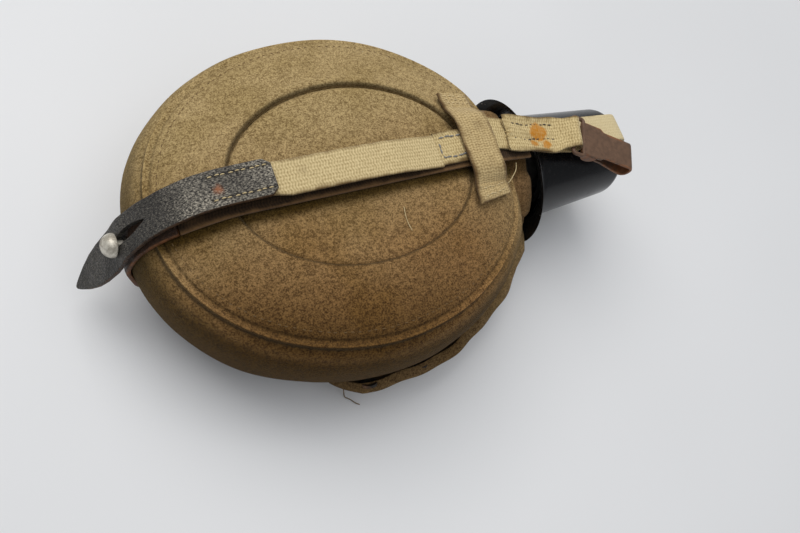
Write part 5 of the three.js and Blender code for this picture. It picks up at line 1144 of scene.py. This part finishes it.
# The pale second colour is the grey of worn grain and also a painted sheen.
black_leather = leather("black_leather", tone(29, 27, 27), tone(186, 178, 162), tone(36, 27, 21), tone(92, 66, 44),
                        (tab_length[-1] - SEWN) / 10, rust_spot)
tab_up = facing(tab_sewn, (0, 1, 0))
tab_rows = [sewing(tab_sewn + tab_up * LEATHER + np.array([0, side, 0]), tab_up, 2.9, 0.7, 0.6) for side in (5.3, -5.3)]
piece("belt_loop_stitches", tab_rows, cream_thread, "belt_loop")
piece("belt_loop_leather", tab_parts, black_leather, "belt_loop", ["belt_loop_tab"])

# Snap hook: brown-painted sheet steel, bent over at its end, with a rod eye in the strap's fold.
# A sprung gate on a pin closes the gap between the leg and the plate.
hook_paint = worn_metal("brown_paint", tone(114, 86, 66), tone(142, 92, 56), -0.1, 0.15)
hook_eye = turn_aside(np.array([CHAPE_FOLD, 0.0, FOLD_Z]))
hook_turn, hook_dip = np.radians(-26), np.radians(10)
hook_way = (np.array([[np.cos(hook_turn), -np.sin(hook_turn), 0], [np.sin(hook_turn), np.cos(hook_turn), 0], [0, 0, 1]])
            @ np.array([[np.cos(hook_dip), 0, np.sin(hook_dip)], [0, 1, 0], [-np.sin(hook_dip), 0, np.cos(hook_dip)]]))


def on_hook(points):
    """Points of the hook's own frame, along X from its eye, turned and set in the strap's fold."""
    return np.asarray(points, float) @ hook_way.T + hook_eye


def laid(rings):
    """Closed skin of a ribbon made in the hook's own frame."""
    return shell(on_hook(rings[0]), uv=rings[1], edge=rings[2])


def plate(outline, low, high, bevel):
    """Flat plate across Y from an [x, z] outline: rings inset by the bevel at both faces, full between them."""
    outline = np.asarray(outline, float)
    middle = outline.mean(0)
    inset = outline + (middle - outline) * bevel / np.linalg.norm(middle - outline, axis=1, keepdims=True)
    rings = [np.insert(flat, 1, y, 1) for flat, y in ((inset, low), (outline, low + bevel), (outline, high - bevel),
                                                      (inset, high))]
    return shell(on_hook(np.stack(rings)), edge=np.array([1.0, 0.4, 0.4, 1.0])[:, None])


bend = np.linspace(np.pi / 2, -np.pi / 2, 16)
hook_path = np.concatenate([
    [[5.3, 0.2], [12, 0.2], [20, 0.2], [30, 0.2], [37, 0.2]],
    np.stack([38 + 2.4 * np.cos(bend), -4.1 + 4.3 * np.sin(bend)], 1), [[30, -8.4], [18.4, -8.4], [16.4, -7.6]]])
hook_line = lengthwise(hook_path, 0.5, 3, 0)
hook_run = np.concatenate([[0], np.cumsum(np.linalg.norm(np.diff(hook_line, axis=0), axis=1))])
hook_half = np.interp(hook_run, [0, 1.5, 12.5, 15, 33, 40, 46, 56, 70], [9.0, 9.5, 9.5, 7.8, 7.8, 7.6, 6.8, 4.8, 4.0])
hook_plate = ribbon(hook_line, (0, 1, 0), -hook_half, hook_half, 1.6, 0.0, 0.0, fine=16)
hook_plate[2][hook_run > 30, 16:] = 1.0
eye_frame = on_hook(rounded_frame(0.0, 6.7, -10.8, 10.8, 0.0, 1.6))
lug_turn = np.linspace(0, np.pi, 12)
lug_outline = np.concatenate([[[9.1, -0.3]], np.stack([11.2 - 2.1 * np.cos(lug_turn), -2.8 - 2.1 * np.sin(lug_turn)], 1),
                              [[13.3, -0.3]]])
ear_outline = np.concatenate([[[6.6, -0.4]], np.stack([11.2 - 4.4 * np.cos(lug_turn), -1.6 - 4.0 * np.sin(lug_turn)], 1),
                              [[15.8, -0.4]]])
hook_parts = [laid(hook_plate), plate(ear_outline, -9.4, -8.2, 0.25), plate(ear_outline, 8.2, 9.4, 0.25), rod(eye_frame, EYE_R, True), plate(lug_outline, 3.8, 5.2, 0.25),
              plate(lug_outline, -5.2, -3.8, 0.25)]
piece("hook_sheet", hook_parts, hook_paint, "hook", ["hook_body"])
pin_line = on_hook([[11.2, y, -2.8] for y in (-5.6, -5.4, -5.2, 0, 5.2, 5.4, 5.6)])
piece("hook_rivet", [rod(pin_line, np.array([0.5, 0.8, 0.9, 0.9, 0.9, 0.8, 0.5]))], dark_steel, "hook",
      ["hook_pin"])
gate_turn = np.linspace(0.9, 4.4, 14)
gate_outline = np.concatenate([np.stack([11.2 + 2.0 * np.cos(gate_turn), -2.8 + 2.0 * np.sin(gate_turn)], 1),
                               [[19.0, -7.25], [21.2, -7.25], [21.2, -6.0], [19.5, -5.6]]])
piece("hook_gate_blade", [plate(gate_outline, -3.5, 3.5, 0.3)], hook_paint, "gate", ["hook_gate"])
spring_line = lengthwise([[19.7, -4.9], [30.4, -1.7], [36, -1.5]], 0.5, 10, 0)
piece("hook_leaf_spring", [laid(ribbon(spring_line, (0, 1, 0), -2.5, 2.5, 0.55, 0.3, 0.0, fine=8))], dark_steel,
      ("hook", "gate", on_hook([28, 0, -2.4]), on_hook([18.2, 0, -5.35])), ["hook_spring"])
